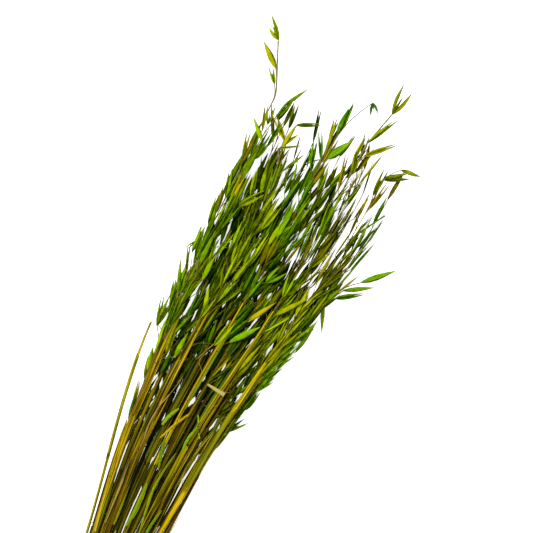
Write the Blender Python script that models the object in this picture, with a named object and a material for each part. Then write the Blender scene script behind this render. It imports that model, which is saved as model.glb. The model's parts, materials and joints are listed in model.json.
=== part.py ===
"""Dried oats bundle, lying down: tied straw stems, each ending in a green head of spikelets.

The bundle is laid out from its tie: X runs to the tips, Y to the bundle's left and Z up from the
surface that it lies on. The last step centres the whole over the origin.
"""

import math
import random

import bmesh
import bpy
import numpy as np
from mathutils import Vector

# Driving dimensions, in metres
MM = 0.001
CUT_END = -0.060            # where the stems are cut, behind the tie
CUT_UNEVEN = 0.006          # how far the cut ends differ
GAP = 0.0003                # room between pieces that touch
ROW_COUNTS = (5, 6, 7, 6, 5)  # stems in each row of the tied bundle, lowest row first
STEM_RADIUS = 0.0016        # inside the tie
STEM_GIRTH = (0.75, 1.25)   # how much thicker a stem gets above the tie
GIRTH_END = 0.09            # from here on a stem has its own girth
THIN_LENGTH = 0.060         # each stem thins over this length below its head
NODE_PLACE = (0.10, 0.21)   # a stem's swollen ring lies somewhere between these
NODE_HALF = 0.004
NODE_SWELL = 1.25
STEM_PITCH = 0.00375        # from stem to stem inside the tie
ROW_PITCH = STEM_PITCH * math.sqrt(3) / 2
TIE_HALF_LENGTH = 0.006     # half the length of stem that the tie covers
TIE_THICKNESS = 0.0016
TIE_CORNER_TURNS = (-30, -10, 10, 30)  # degrees; each corner of the tie is rounded in these steps
KNOT_RADIUS = 0.0032
KNOT_SHAPE = (1.25, 1.0, 0.8)
TAIL_RADIUS = 0.0008
TAIL_PLACES = ((0, 0, 0.6), (5, 4, 2.4), (12, 7, 2.6), (19, 8, 1.2))  # from the knot, in mm
TAIL_SIDES = 5
KNOT_LIFT = 0.4             # of its radius, above the band
STRAIGHT_HALF = 0.009       # the stems run parallel this far either side of the tie's middle
FIRST_ROW_HEIGHT = TIE_THICKNESS + GAP + STEM_RADIUS

# How the stems fan out between the tie and the heads
FAN_LEFT = 0.043            # the left edge swings out this far and then runs straight
FAN_LEFT_LENGTH = 0.150
FAN_RIGHT = 0.024           # the right edge swings out less at first
FAN_RIGHT_LENGTH = 0.080
FAN_RIGHT_SWELL = 0.043     # and leans out again at the heads
FAN_EASE = 0.025
SPREAD_END = 0.25           # the rows have opened by here
RISE_END = 0.30             # and reached their own heights by here
ROW_SPREAD = (1.30, 1.10, 1.0, 1.10, 1.30)  # short rows open wider, so the heads fill an oval
HEAD_ROW_HEIGHT = 0.009     # height of the lowest row's heads
HEAD_ROW_STEP = 0.0112      # height from row to row at the heads
BUTT_SPLAY = 10.0           # how fast the cut ends spread behind the tie
BOW = 0.0035                # how far a stem sways sideways
LIFT = 0.0015               # and up or down
SWAY_RATES = (12, 14)       # radians of sway per metre, sideways and up
SWAY_LENGTH = 0.3           # the sway is full this far along
SWING_LENGTH = 0.045        # a leader turns aside over this length

# Heads
HEAD_FIRST_START = 0.205    # the earliest head starts this far from the tie
HEAD_ROW_SHIFT = 0.030      # each higher row's heads start further out
HEAD_CENTRE_SHIFT = 0.025   # and so do the heads near the middle
HEAD_START_SPREAD = 0.040   # heads of one row start this unevenly
HEAD_LENGTH = (0.185, 0.225)
HEAD_LIMIT = (0.515, 0.535) # no plain head's stalk reaches further than about this
RACHIS_RADIUS = (0.0010, 0.0007)
RACHIS_PIECES = 6
STALK_RADIUS = 0.00043
WHORLS = 8                  # places along a head where spikelets branch off
SPIKELETS_PER_HEAD = 14
WHORL_LIMIT = 0.490         # past here a head has only its end spikelet and its sprays
SPIKELET_LENGTH = (0.024, 0.033)
SPIKELET_WIDTH = (0.0037, 0.0049)
SPIKELET_OPEN = (0.0010, 0.0055)  # between the two tips
SPIKELET_STAGGER = (-0.002, 0.003)  # one tip ends this much earlier
SPIKELET_DEPTH = 0.0024
WIDEST = 0.40               # where along a spikelet it is widest
THICKEST = 0.45             # and where it is thickest
LONG_STALK = 0.032          # lowest whorl's stalks
SHORT_STALK = 0.009         # highest whorl's stalks
STALK_SHARE = (0.35, 1.0)   # of that length, at random
STALK_ANGLE = (0.18, 0.45)  # between a stalk and its head, in radians
SPIKELET_LEAN = (-0.12, 0.30)
END_TURN = (0.25, 0.20)     # how far a head's last spikelet turns aside and up, at random
SPRAY_ROLL = 0.5
SPIKELET_ROLL = 0.9         # a spikelet's flat side turns up to this far from level
GOLDEN = 0.6180339887       # spreads the whorls evenly
HEAD_TURN = 0.37            # and lets each head begin at another whorl
WHORL_SPREAD = 0.6          # of the room between whorls
HEAD_MARGIN = 0.006         # bare ends of a head
ROOT_DEPTH = 0.003          # an end spikelet's root goes this far into its head
SPRAY_STEP = 0.0012         # from one height to the next where a spray looks for room
SPRAY_RISE = 1.5            # its tip rises or sinks this much more than its neck
SPRAY_MARGIN = 0.005        # no spray branches off nearer to its head's start
FIRST_HEAD_ROOM = 0.17      # from here on the straws' own room is kept clear
TRIES = 30
LOOK_AHEAD = 0.003          # a head's direction is taken over this length
LOOK_BACK = 0.010           # and its end's direction over this one
BEAD_STEP = 0.0016          # between the beads that stand for a spikelet when room is sought
BEAD_PLACE = 0.45           # of the way in from a spikelet's corner to its middle
BEAD_SIZE = 0.25            # share of the spikelet's width
TIP_BEAD = 0.0002
BARE_ROOT = (0.005, 0.6)    # a stalk's first length, and share of it, that may touch its own head
STRAW_BEAD_STEP = 0.002
CLEARANCE = 0.0004
ROOM_MARGIN = 0.006         # more than any two beads' radii
SEED = 417

STEM_SIDES = 5
RACHIS_SIDES = 4
SHARP_ANGLE = 40            # degrees; edges sharper than this aren't smoothed

# Rings of each stem, measured from the tie
STATIONS = (-0.009, 0.009, 0.036, 0.078, 0.175, 0.250, 0.320)

# Heads that reach past the rest: (row, place), where the head's own stalk ends and where its last
# spikelet ends, seen from above, in mm. A third pair sets that spikelet's fork: how wide it opens
# and how much earlier its second tip ends
LEADERS = {
    (3, 5): ((582, 65), (598, 83), (5.0, 11.0)),
    (4, 4): ((531, 37), (555, 24)),
    (4, 3): ((500, 22), (523, 20)),
    (4, 2): ((532, -16), (563, -17)),
    (4, 1): ((566, -50), (592, -53), (7.8, -4.3)),
    (4, 0): ((512, -67), (525, -87), (3.5, 0.0)),
    (3, 0): ((466, -71), (486, -82)),
}

BROKEN_STEM = (2, 6)        # row and place of the bare stem
BROKEN_END = (318, 60)
BROKEN_SWING = 0.19         # it turns aside over this length

# Spikelets that stand out of the bundle: their head, the distance along it where they branch off,
# their neck and their tip seen from above, in mm, and for some the fork
SPRAYS = (
    ((3, 5), 545, (560, 57), (574, 73), (3.4, -4.7)),
    ((3, 5), 532, (547, 52), (560, 62)),
    ((4, 3), 495, (523, 19), (533, -1), (0.8, 0.0)),
    ((4, 3), 480, (498, 25), (510, 6), (1.0, 2.0)),
    ((4, 3), 482, (502, 23), (518, 14), (0.8, 0.0)),
    ((4, 3), 465, (483, 13), (505, 2), (0.8, 0.0)),
    ((4, 2), 525, (568, -31), (558, -37), (3.0, 1.0)),
    ((4, 1), 520, (536, -42), (567, -57), (3.0, 5.0)),
    ((4, 1), 500, (515, -37), (543, -38), (1.5, 2.0)),
    ((4, 1), 505, (524, -44), (548, -68), (2.0, 0.0)),
    ((4, 1), 478, (500, -50), (537, -59), (1.5, 0.0)),
    ((4, 0), 480, (497, -65), (525, -66)),
    ((4, 0), 508, (527, -78), (529, -96), (1.0, 1.0)),
    ((3, 0), 415, (434, -73), (459, -80)),
    ((2, 0), 392, (426, -89), (447, -111), (5.2, 0.0)),
    ((2, 0), 380, (413, -78), (427, -102), (1.0, 0.0)),
    ((2, 0), 365, (404, -75), (419, -97), (1.0, 0.0)),
    ((3, 0), 401, (397, -66), (370, -77)),
    ((1, 0), 335, (355, -60), (371, -69)),
    ((1, 0), 300, (328, -54), (346, -65)),
    ((1, 0), 282, (300, -46), (319, -57)),
    ((0, 0), 236, (259, -40), (277, -53)),
    ((1, 5), 288, (316, 54), (346, 62)),
    ((1, 5), 404, (401, 53), (384, 62)),
    ((2, 5), 500, (521, 36), (545, 31)),
    ((2, 3), 492, (524, -11), (545, -9)),
    ((3, 3), 488, (506, -12), (529, 0)),
    ((4, 2), 490, (509, -17), (530, -29)),
    ((4, 4), 480, (498, 40), (514, 57)),
    ((3, 4), 490, (507, 23), (525, 43)),
    ((3, 5), 485, (506, 44), (531, 51)),
    ((2, 3), 478, (498, -6), (520, 0)),
    ((2, 5), 490, (503, 32), (531, 47)),
    ((2, 2), 482, (501, -38), (522, -46)),
    ((3, 1), 505, (523, -42), (544, -38)),
    ((3, 1), 490, (510, -44), (531, -48)),
    ((1, 5), 380, (398, 44), (423, 50)),
    ((3, 5), 425, (442, 48), (469, 55)),
    ((3, 5), 450, (468, 47), (491, 51)),
    ((1, 5), 318, (341, 53), (363, 56)),
    ((1, 5), 262, (278, 42), (301, 46)),
    ((2, 0), 352, (369, -63), (392, -63)),
    ((2, 0), 330, (347, -58), (367, -61)),
    ((0, 0), 280, (302, -49), (322, -56)),
    ((0, 0), 262, (284, -47), (304, -51)),
)

# Colours of the heads, the straws and the tie
GREEN = (0.105, 0.190, 0.008)
FRESH_GREEN = (0.060, 0.150, 0.010)
YELLOW_GREEN = (0.230, 0.270, 0.012)
GOLD = (0.330, 0.240, 0.020)
STRAW = (0.360, 0.260, 0.022)
OLIVE_STRAW = (0.230, 0.190, 0.014)
BROWN_STRAW = (0.190, 0.115, 0.018)
TWINE = (0.420, 0.300, 0.160)
HEAD_COLOURS = (GREEN, FRESH_GREEN, YELLOW_GREEN, GREEN, GOLD)
STEM_COLOURS = (STRAW, OLIVE_STRAW, STRAW, BROWN_STRAW)
STEM_ROUGHNESS = 0.6
HUSK_ROUGHNESS = 0.55
TWINE_ROUGHNESS = 0.85


def ramp(low, high, value):
    """Go from 0 at low to 1 at high, with no kink at either."""
    share = min(max((value - low) / (high - low), 0.0), 1.0)
    return share * share * (3.0 - 2.0 * share)


def mix(first, second, share):
    return first + (second - first) * share


def plan_oats(rng):
    """Give every stem its place in the tie, its bend and the ends of its head."""
    oats = []
    for row, count in enumerate(ROW_COUNTS):
        for place in range(count):
            across = (place - (count - 1) / 2) * STEM_PITCH
            slot = across / (3 * STEM_PITCH)
            start = HEAD_FIRST_START + HEAD_ROW_SHIFT * row + rng.uniform(0, HEAD_START_SPREAD)
            if row > 1:
                start += HEAD_CENTRE_SHIFT * (1 - abs(slot))
            oats.append({
                "row": row,
                "place": place,
                "across": across,
                "slot": slot,
                "start": start,
                "end": min(start + rng.uniform(*HEAD_LENGTH), rng.uniform(*HEAD_LIMIT)),
                "bow": rng.uniform(-BOW, BOW),
                "lift": rng.uniform(-LIFT, LIFT),
                "phase": rng.uniform(0, math.tau),
                "girth": rng.uniform(*STEM_GIRTH),
                "cut": CUT_END + rng.uniform(0, CUT_UNEVEN),
                "swing": 0.0,
                "swing_length": SWING_LENGTH,
                "has_head": True,
            })
    for oat in oats:
        where = (oat["row"], oat["place"])
        if where == BROKEN_STEM:
            oat["has_head"] = False
            oat["swing_length"] = BROKEN_SWING
        if where in LEADERS or where == BROKEN_STEM:
            end_x, end_y = LEADERS[where][0] if where in LEADERS else BROKEN_END
            oat["end"] = end_x * MM
            oat["swing"] = end_y * MM - stem_point(oat, oat["end"]).y
        if where == BROKEN_STEM:
            oat["start"] = oat["end"]
    return oats


def stem_point(oat, x):
    """Middle of an oat's stem, or of its head's stalk, at a distance from the tie."""
    past = max(x - STRAIGHT_HALF, 0.0)
    reach = past * past / (past + FAN_EASE)
    half = 3 * STEM_PITCH
    left = half + FAN_LEFT * (1 - math.exp(-reach / FAN_LEFT_LENGTH))
    right = -half - FAN_RIGHT * (1 - math.exp(-reach / FAN_RIGHT_LENGTH))
    right -= FAN_RIGHT_SWELL * ramp(0.20, 0.50, x)
    slot = oat["slot"] * mix(1.0, ROW_SPREAD[oat["row"]], ramp(0, SPREAD_END, x))
    y = mix(right, left, (1 + slot) / 2)
    tied_height = FIRST_ROW_HEIGHT + oat["row"] * ROW_PITCH
    head_height = HEAD_ROW_HEIGHT + oat["row"] * HEAD_ROW_STEP
    z = mix(tied_height, head_height, ramp(STRAIGHT_HALF, RISE_END, x))
    sway = min(reach / SWAY_LENGTH, 1.0)
    y += oat["bow"] * sway * math.sin(SWAY_RATES[0] * x + oat["phase"])
    z += oat["lift"] * sway * math.cos(SWAY_RATES[1] * x + oat["phase"])
    y += oat["swing"] * ramp(oat["end"] - oat["swing_length"], oat["end"], x)
    behind = max(-STRAIGHT_HALF - x, 0.0)
    opening = BUTT_SPLAY * behind * behind / (behind + FAN_EASE)
    y += oat["across"] * opening
    z += oat["row"] * ROW_PITCH * opening
    return Vector((x, y, z))


def head_point(oat, x):
    """Middle of a head's stalk, which runs straight from ring to ring."""
    share = (x - oat["start"]) / (oat["end"] - oat["start"]) * RACHIS_PIECES
    ring_number = min(int(share), RACHIS_PIECES - 1)
    length = (oat["end"] - oat["start"]) / RACHIS_PIECES
    near = stem_point(oat, oat["start"] + length * ring_number)
    far = stem_point(oat, oat["start"] + length * (ring_number + 1))
    return near.lerp(far, share - ring_number)


def stem_radius(oat, x):
    """Half the stem's thickness: even in the tie, its own girth above it, thin under the head."""
    full = mix(STEM_RADIUS, STEM_RADIUS * oat["girth"], ramp(STRAIGHT_HALF, GIRTH_END, x))
    return mix(full, RACHIS_RADIUS[0], ramp(oat["start"] - THIN_LENGTH, oat["start"], x))


def head_radius(oat, x):
    share = (x - oat["start"]) / (oat["end"] - oat["start"])
    return mix(RACHIS_RADIUS[0], RACHIS_RADIUS[1], share)


class Room:
    """Remembers what space is taken, as beads strung along every piece."""

    def __init__(self):
        self.beads = np.zeros((0, 4))
        self.owners = np.zeros(0, int)

    def take(self, beads, owner=-1):
        self.beads = np.vstack([self.beads, beads])
        self.owners = np.concatenate([self.owners, np.full(len(beads), owner)])

    def is_clear(self, beads, ignored=-2):
        low = beads[:, :3].min(axis=0) - ROOM_MARGIN
        high = beads[:, :3].max(axis=0) + ROOM_MARGIN
        near = ((self.beads[:, :3] > low) & (self.beads[:, :3] < high)).all(axis=1)
        others = self.beads[near & (self.owners != ignored)]
        apart = np.linalg.norm(beads[:, None, :3] - others[None, :, :3], axis=2)
        reach = beads[:, None, 3] + others[None, :, 3] + CLEARANCE
        on_surface = (beads[:, 2] - beads[:, 3]).min() > 0.0
        return on_surface and not (apart < reach).any()


def bead_row(start, end, radius_start, radius_end):
    """Beads along a straight taper."""
    count = max(2, int((end - start).length / BEAD_STEP) + 1)
    rows = []
    for index in range(count):
        share = index / (count - 1)
        point = start.lerp(end, share)
        rows.append((point.x, point.y, point.z, mix(radius_start, radius_end, share)))
    return np.array(rows)


def fork_points(spikelet):
    """The two wide corners and the two tips of a spikelet."""
    along = (spikelet["tip"] - spikelet["neck"]).normalized()
    side = spikelet["side"]
    middle = spikelet["neck"].lerp(spikelet["tip"], WIDEST)
    left = middle + side * spikelet["width"] / 2
    right = middle - side * spikelet["width"] / 2
    left_tip = spikelet["tip"] + side * spikelet["open"] / 2
    right_tip = spikelet["tip"] - side * spikelet["open"] / 2 - along * spikelet["stagger"]
    return left, right, left_tip, right_tip


def spikelet_beads(spikelet):
    """Beads of a spikelet's two halves, and beads of its stalk clear of the root."""
    left, right, left_tip, right_tip = fork_points(spikelet)
    neck = spikelet["neck"]
    middle = neck.lerp(spikelet["tip"], WIDEST)
    inner = spikelet["width"] * BEAD_SIZE
    left = left.lerp(middle, BEAD_PLACE)
    right = right.lerp(middle, BEAD_PLACE)
    body = np.vstack([
        bead_row(neck, left, STALK_RADIUS, inner),
        bead_row(neck, right, STALK_RADIUS, inner),
        bead_row(left, left_tip, inner, TIP_BEAD),
        bead_row(right, right_tip, inner, TIP_BEAD),
    ])
    stalk = neck - spikelet["root"]
    bare = min(BARE_ROOT[0], stalk.length * BARE_ROOT[1])
    clear_root = spikelet["root"] + stalk.normalized() * bare
    return body, bead_row(clear_root, neck, STALK_RADIUS, STALK_RADIUS)


def fits(spikelet, room):
    body, stalk = spikelet_beads(spikelet)
    return room.is_clear(body) and room.is_clear(stalk, ignored=spikelet["head"])


def keep(spikelet, room, spikelets):
    body, stalk = spikelet_beads(spikelet)
    room.take(body)
    room.take(stalk)
    spikelets.append(spikelet)


def make_spikelet(head, root, neck, tip, roll, rng, fork=()):
    """A spikelet from the place where its stalk leaves the head to its tip."""
    along = (tip - neck).normalized()
    level = along.cross(Vector((0, 0, 1))).normalized()
    upright = level.cross(along)
    spikelet = {
        "head": head,
        "root": root,
        "neck": neck,
        "tip": tip,
        "side": level * math.cos(roll) + upright * math.sin(roll),
        "width": rng.uniform(*SPIKELET_WIDTH),
        "open": rng.uniform(*SPIKELET_OPEN),
        "stagger": rng.uniform(*SPIKELET_STAGGER),
    }
    if fork:
        spikelet["open"], spikelet["stagger"] = fork[0] * MM, fork[1] * MM
    return spikelet


def place_end_spikelets(oats, room, rng, spikelets):
    """One spikelet straight on at the end of each head."""
    for head, oat in enumerate(oats):
        if not oat["has_head"]:
            continue
        end = head_point(oat, oat["end"])
        ahead = (end - head_point(oat, oat["end"] - LOOK_BACK)).normalized()
        length = rng.uniform(*SPIKELET_LENGTH)
        _, leader_tip, *fork = LEADERS.get((oat["row"], oat["place"]), (None, None))
        for _ in range(TRIES):
            aside = rng.uniform(-END_TURN[0], END_TURN[0])
            turn = Vector((0, aside, rng.uniform(-END_TURN[1], END_TURN[1])))
            tip = end + (ahead + turn).normalized() * length
            if leader_tip:
                tip = Vector((leader_tip[0] * MM, leader_tip[1] * MM, tip.z))
            root = end - ahead * ROOT_DEPTH
            roll = rng.uniform(-SPIKELET_ROLL, SPIKELET_ROLL)
            spikelet = make_spikelet(head, root, end + ahead * MM, tip, roll, rng, *fork)
            if fits(spikelet, room):
                keep(spikelet, room, spikelets)
                break


def place_sprays(oats, room, rng, spikelets):
    """The spikelets that stand out of the bundle, each at the first height that is free."""
    numbers = {(oat["row"], oat["place"]): number for number, oat in enumerate(oats)}
    for where, branch, neck_place, tip_place, *fork in SPRAYS:
        head = numbers[where]
        root = head_point(oats[head], max(branch * MM, oats[head]["start"] + SPRAY_MARGIN))
        for attempt in range(TRIES):
            rise = (attempt + 1) // 2 * SPRAY_STEP * (1 if attempt % 2 else -1)
            neck = Vector((neck_place[0] * MM, neck_place[1] * MM, root.z + rise))
            tip = Vector((tip_place[0] * MM, tip_place[1] * MM, root.z + rise * SPRAY_RISE))
            roll = rng.uniform(-SPRAY_ROLL, SPRAY_ROLL)
            spikelet = make_spikelet(head, root, neck, tip, roll, rng, *fork)
            if fits(spikelet, room):
                keep(spikelet, room, spikelets)
                break


def place_round(number, oats, room, rng, spikelets):
    """One more spikelet on every head, at the next whorl of a sequence that fills evenly."""
    for head, oat in enumerate(oats):
        if not oat["has_head"]:
            continue
        share = int(((number + 1) * GOLDEN + head * HEAD_TURN) % 1 * WHORLS) / WHORLS
        last = min(oat["end"], WHORL_LIMIT) - HEAD_MARGIN
        for _ in range(TRIES):
            along = share + rng.uniform(0, WHORL_SPREAD) / WHORLS
            root = head_point(oat, mix(oat["start"] + HEAD_MARGIN, last, along))
            ahead = (head_point(oat, root.x + LOOK_AHEAD) - root).normalized()
            level = Vector((0, 0, 1)).cross(ahead).normalized()
            upright = ahead.cross(level)
            around = rng.uniform(0, math.tau)
            outward = level * math.cos(around) + upright * math.sin(around)
            stalk = mix(LONG_STALK, SHORT_STALK, share) * rng.uniform(*STALK_SHARE)
            angle = rng.uniform(*STALK_ANGLE)
            neck = root + (ahead * math.cos(angle) + outward * math.sin(angle)) * stalk
            lean = rng.uniform(*SPIKELET_LEAN)
            length = rng.uniform(*SPIKELET_LENGTH)
            tip = neck + (ahead * math.cos(lean) + outward * math.sin(lean)) * length
            roll = rng.uniform(-SPIKELET_ROLL, SPIKELET_ROLL)
            spikelet = make_spikelet(head, root, neck, tip, roll, rng)
            if fits(spikelet, room):
                keep(spikelet, room, spikelets)
                break


def place_spikelets(oats, rounds):
    """All spikelets of the bundle, clear of each other and of every stem."""
    rng = random.Random(SEED + 1)
    room = Room()
    for number, oat in enumerate(oats):
        for x in np.arange(FIRST_HEAD_ROOM, oat["start"], STRAW_BEAD_STEP):
            room.take(np.array([(*stem_point(oat, x), stem_radius(oat, x))]))
        if oat["has_head"]:
            for x in np.arange(oat["start"], oat["end"] - STRAW_BEAD_STEP, STRAW_BEAD_STEP):
                room.take(np.array([(*head_point(oat, x), head_radius(oat, x))]), number)
    spikelets = []
    place_end_spikelets(oats, room, rng, spikelets)
    place_sprays(oats, room, rng, spikelets)
    for number in range(rounds):
        place_round(number, oats, room, rng, spikelets)
    return spikelets


def ring(centre, ahead, radius, sides, twist=0.0):
    """Points round a line, seen from its start, in order."""
    level = Vector((0, 0, 1)).cross(ahead).normalized()
    upright = ahead.cross(level)
    points = []
    for index in range(sides):
        angle = twist + math.tau * index / sides
        points.append(centre + (level * math.cos(angle) + upright * math.sin(angle)) * radius)
    return points


def tube_mesh(centres, radii, sides, twist=0.0):
    """A closed tube through a line of centres."""
    shape = bmesh.new()
    rings = []
    last = len(centres) - 1
    for index, centre in enumerate(centres):
        ahead = (centres[min(index + 1, last)] - centres[max(index - 1, 0)]).normalized()
        rings.append([shape.verts.new(p) for p in ring(centre, ahead, radii[index], sides, twist)])
    for near, far in zip(rings, rings[1:]):
        for side in range(sides):
            after = (side + 1) % sides
            shape.faces.new((near[side], near[after], far[after], far[side]))
    shape.faces.new(reversed(rings[0]))
    shape.faces.new(rings[-1])
    return shape


def spikelet_mesh(spikelet):
    """A stalk that widens into a flat body and forks into two points."""
    shape = bmesh.new()
    root, neck = spikelet["root"], spikelet["neck"]
    left, right, left_tip, right_tip = fork_points(spikelet)
    along = (spikelet["tip"] - neck).normalized()
    front_side = spikelet["side"].cross(along)
    middle = neck.lerp(spikelet["tip"], THICKEST)
    stalk_way = (neck - root).normalized()
    low = ring_about(root, stalk_way, spikelet["side"], STALK_RADIUS)
    high = ring_about(neck, (stalk_way + along).normalized(), spikelet["side"], STALK_RADIUS)
    low = [shape.verts.new(p) for p in low]
    high = [shape.verts.new(p) for p in high]
    wide = [shape.verts.new(p) for p in (
        left,
        middle + front_side * SPIKELET_DEPTH / 2,
        right,
        middle - front_side * SPIKELET_DEPTH / 2,
    )]
    tips = [shape.verts.new(left_tip), shape.verts.new(right_tip)]
    shape.faces.new(reversed(low))
    for side in range(3):
        after = (side + 1) % 3
        shape.faces.new((low[side], low[after], high[after], high[side]))
    # The neck's three corners meet the body's four: left, front, right and back
    shape.faces.new((high[0], high[1], wide[1]))
    shape.faces.new((high[0], wide[1], wide[0]))
    shape.faces.new((high[1], wide[2], wide[1]))
    shape.faces.new((high[1], high[2], wide[2]))
    shape.faces.new((high[2], wide[3], wide[2]))
    shape.faces.new((high[2], high[0], wide[3]))
    shape.faces.new((high[0], wide[0], wide[3]))
    shape.faces.new((wide[0], wide[1], tips[0]))
    shape.faces.new((wide[1], wide[3], tips[0]))
    shape.faces.new((wide[3], wide[0], tips[0]))
    shape.faces.new((wide[1], wide[2], tips[1]))
    shape.faces.new((wide[2], wide[3], tips[1]))
    shape.faces.new((wide[3], wide[1], tips[1]))
    bmesh.ops.recalc_face_normals(shape, faces=shape.faces)
    return shape


def ring_about(centre, ahead, side, radius):
    """Three corners round a line, the first on the given side."""
    across = (side - ahead * side.dot(ahead)).normalized()
    upright = across.cross(ahead)
    corners = []
    for index in range(3):
        angle = math.tau * index / 3
        corners.append(centre + (across * math.cos(angle) + upright * math.sin(angle)) * radius)
    return corners


def add_object(name, shape, material):
    """Turn a bmesh into a named object with a material."""
    mesh = bpy.data.meshes.new(name)
    shape.to_mesh(mesh)
    shape.free()
    mesh.materials.append(material)
    mesh.shade_smooth()
    mesh.set_sharp_from_angle(angle=math.radians(SHARP_ANGLE))
    thing = bpy.data.objects.new(name, mesh)
    bpy.context.scene.collection.objects.link(thing)
    return thing


def make_material(name, colour, roughness):
    material = bpy.data.materials.new(name)
    material.use_nodes = True
    shader = material.node_tree.nodes["Principled BSDF"]
    shader.inputs["Base Color"].default_value = (*colour, 1.0)
    shader.inputs["Roughness"].default_value = roughness
    shader.inputs["Metallic"].default_value = 0.0
    return material


def build_stem(name, oat, material):
    """One straw culm with the swollen ring of its node."""
    node_x = mix(*NODE_PLACE, oat["phase"] / math.tau)
    last = oat["start"] - GAP
    room = 3 * NODE_HALF
    places = [(x, 1.0) for x in STATIONS if x < last - room and abs(x - node_x) > room]
    places += [(node_x - NODE_HALF, 1.0), (node_x, NODE_SWELL), (node_x + NODE_HALF, 1.0)]
    places += [(oat["cut"], 1.0), (last, 1.0)]
    places.sort()
    centres = [stem_point(oat, x) for x, _ in places]
    radii = [stem_radius(oat, x) * swell for x, swell in places]
    return add_object(name, tube_mesh(centres, radii, STEM_SIDES, oat["phase"]), material)


def build_rachis(name, oat, material):
    """The thin middle stalk of a head."""
    centres = []
    radii = []
    for index in range(RACHIS_PIECES + 1):
        x = mix(oat["start"], oat["end"], index / RACHIS_PIECES)
        centres.append(stem_point(oat, x))
        radii.append(head_radius(oat, x))
    return add_object(name, tube_mesh(centres, radii, RACHIS_SIDES, math.pi / RACHIS_SIDES), material)


def join(base, shapes, material):
    """Fuse shapes into a base object with one Boolean union, then remove what was joined."""
    group = bpy.data.collections.new(base.name + "_repeats")
    bpy.context.scene.collection.children.link(group)
    for number, shape in enumerate(shapes):
        piece = add_object(f"{base.name}_repeat_{number}", shape, material)
        bpy.context.scene.collection.objects.unlink(piece)
        group.objects.link(piece)
    union = base.modifiers.new("join", "BOOLEAN")
    union.operation = "UNION"
    union.operand_type = "COLLECTION"
    union.collection = group
    union.solver = "EXACT"
    bpy.context.view_layer.update()
    evaluated = base.evaluated_get(bpy.context.evaluated_depsgraph_get())
    joined = bpy.data.meshes.new_from_object(evaluated)
    base.modifiers.clear()
    base.data = joined
    for piece in list(group.objects):
        bpy.data.objects.remove(piece)
    bpy.data.collections.remove(group)


def build_head(name, oat, spikelets, material):
    """A head: its middle stalk and its spikelets, joined into one body."""
    rachis = build_rachis(name, oat, material)
    join(rachis, [spikelet_mesh(spikelet) for spikelet in spikelets], material)
    return rachis


def tie_outline(offset):
    """Round the outer stems of the tied rows: a flat six-sided loop with round corners."""
    middle = FIRST_ROW_HEIGHT + 2 * ROW_PITCH
    outline = []
    for index, (places, rows) in enumerate(((3, 0), (2, 2), (-2, 2), (-3, 0), (-2, -2), (2, -2))):
        for turn in TIE_CORNER_TURNS:
            way = math.radians(60 * index + turn)
            y = places * STEM_PITCH + offset * math.cos(way)
            z = middle + rows * ROW_PITCH + offset * math.sin(way)
            outline.append((y, z))
    return outline


def tie_tail(side):
    """One loose end of the tie, from the knot out over the stems."""
    top = max(z for _, z in tie_outline(STEM_RADIUS + GAP + TIE_THICKNESS))
    centres = []
    for forward, out, up in TAIL_PLACES:
        centres.append(Vector((side * forward * MM, out * MM * side, top + up * MM)))
    return tube_mesh(centres, [TAIL_RADIUS] * len(centres), TAIL_SIDES)


def tie_knot():
    """The knot on top of the tie."""
    top = max(z for _, z in tie_outline(STEM_RADIUS + GAP + TIE_THICKNESS))
    shape = bmesh.new()
    bmesh.ops.create_icosphere(shape, subdivisions=1, radius=KNOT_RADIUS)
    bmesh.ops.scale(shape, verts=shape.verts, vec=KNOT_SHAPE)
    bmesh.ops.translate(shape, verts=shape.verts, vec=(0, 0, top + KNOT_RADIUS * KNOT_LIFT))
    return shape


def build_tie(material):
    """The band round the stems, with its knot on top and two short ends."""
    inner = tie_outline(STEM_RADIUS + GAP)
    outer = tie_outline(STEM_RADIUS + GAP + TIE_THICKNESS)
    shape = bmesh.new()
    loops = []
    for x, outline in (
        (-TIE_HALF_LENGTH, outer),
        (TIE_HALF_LENGTH, outer),
        (TIE_HALF_LENGTH, inner),
        (-TIE_HALF_LENGTH, inner),
    ):
        loops.append([shape.verts.new((x, y, z)) for y, z in outline])
    for near, far in zip(loops, loops[1:] + loops[:1]):
        for index in range(len(near)):
            after = (index + 1) % len(near)
            shape.faces.new((near[index], near[after], far[after], far[index]))
    bmesh.ops.recalc_face_normals(shape, faces=shape.faces)
    tie = add_object("tie", shape, material)
    join(tie, [tie_knot(), tie_tail(1), tie_tail(-1)], material)
    return tie


def centre_over_origin(things):
    """Move everything so that the whole stands centred on the origin."""
    corners = np.array([thing.matrix_world @ v.co for thing in things for v in thing.data.vertices])
    middle = (corners.min(axis=0) + corners.max(axis=0)) / 2
    for thing in things:
        thing.location = (-middle[0], -middle[1], -corners[:, 2].min())


def clear_scene():
    for thing in list(bpy.data.objects):
        bpy.data.objects.remove(thing)


def main():
    clear_scene()
    oats = plan_oats(random.Random(SEED))
    spikelets = place_spikelets(oats, SPIKELETS_PER_HEAD)
    straws = [make_material(f"straw_{i}", c, STEM_ROUGHNESS) for i, c in enumerate(STEM_COLOURS)]
    greens = [make_material(f"oat_{i}", c, HUSK_ROUGHNESS) for i, c in enumerate(HEAD_COLOURS)]
    things = [build_tie(make_material("twine", TWINE, TWINE_ROUGHNESS))]
    number = 0
    for index, oat in enumerate(oats):
        straw = straws[index % len(straws)]
        if not oat["has_head"]:
            things.append(build_stem("broken_stem", oat, straw))
            continue
        number += 1
        own = [s for s in spikelets if s["head"] == index]
        things.append(build_stem(f"stem_{number:02d}", oat, straw))
        things.append(build_head(f"head_{number:02d}", oat, own, greens[index % len(greens)]))
    centre_over_origin(things)
    print("spikelets", len(spikelets))


main()
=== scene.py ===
import json
import math
import random

import bmesh
import bpy
import numpy as np
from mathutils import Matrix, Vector
from mathutils.kdtree import KDTree

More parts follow.
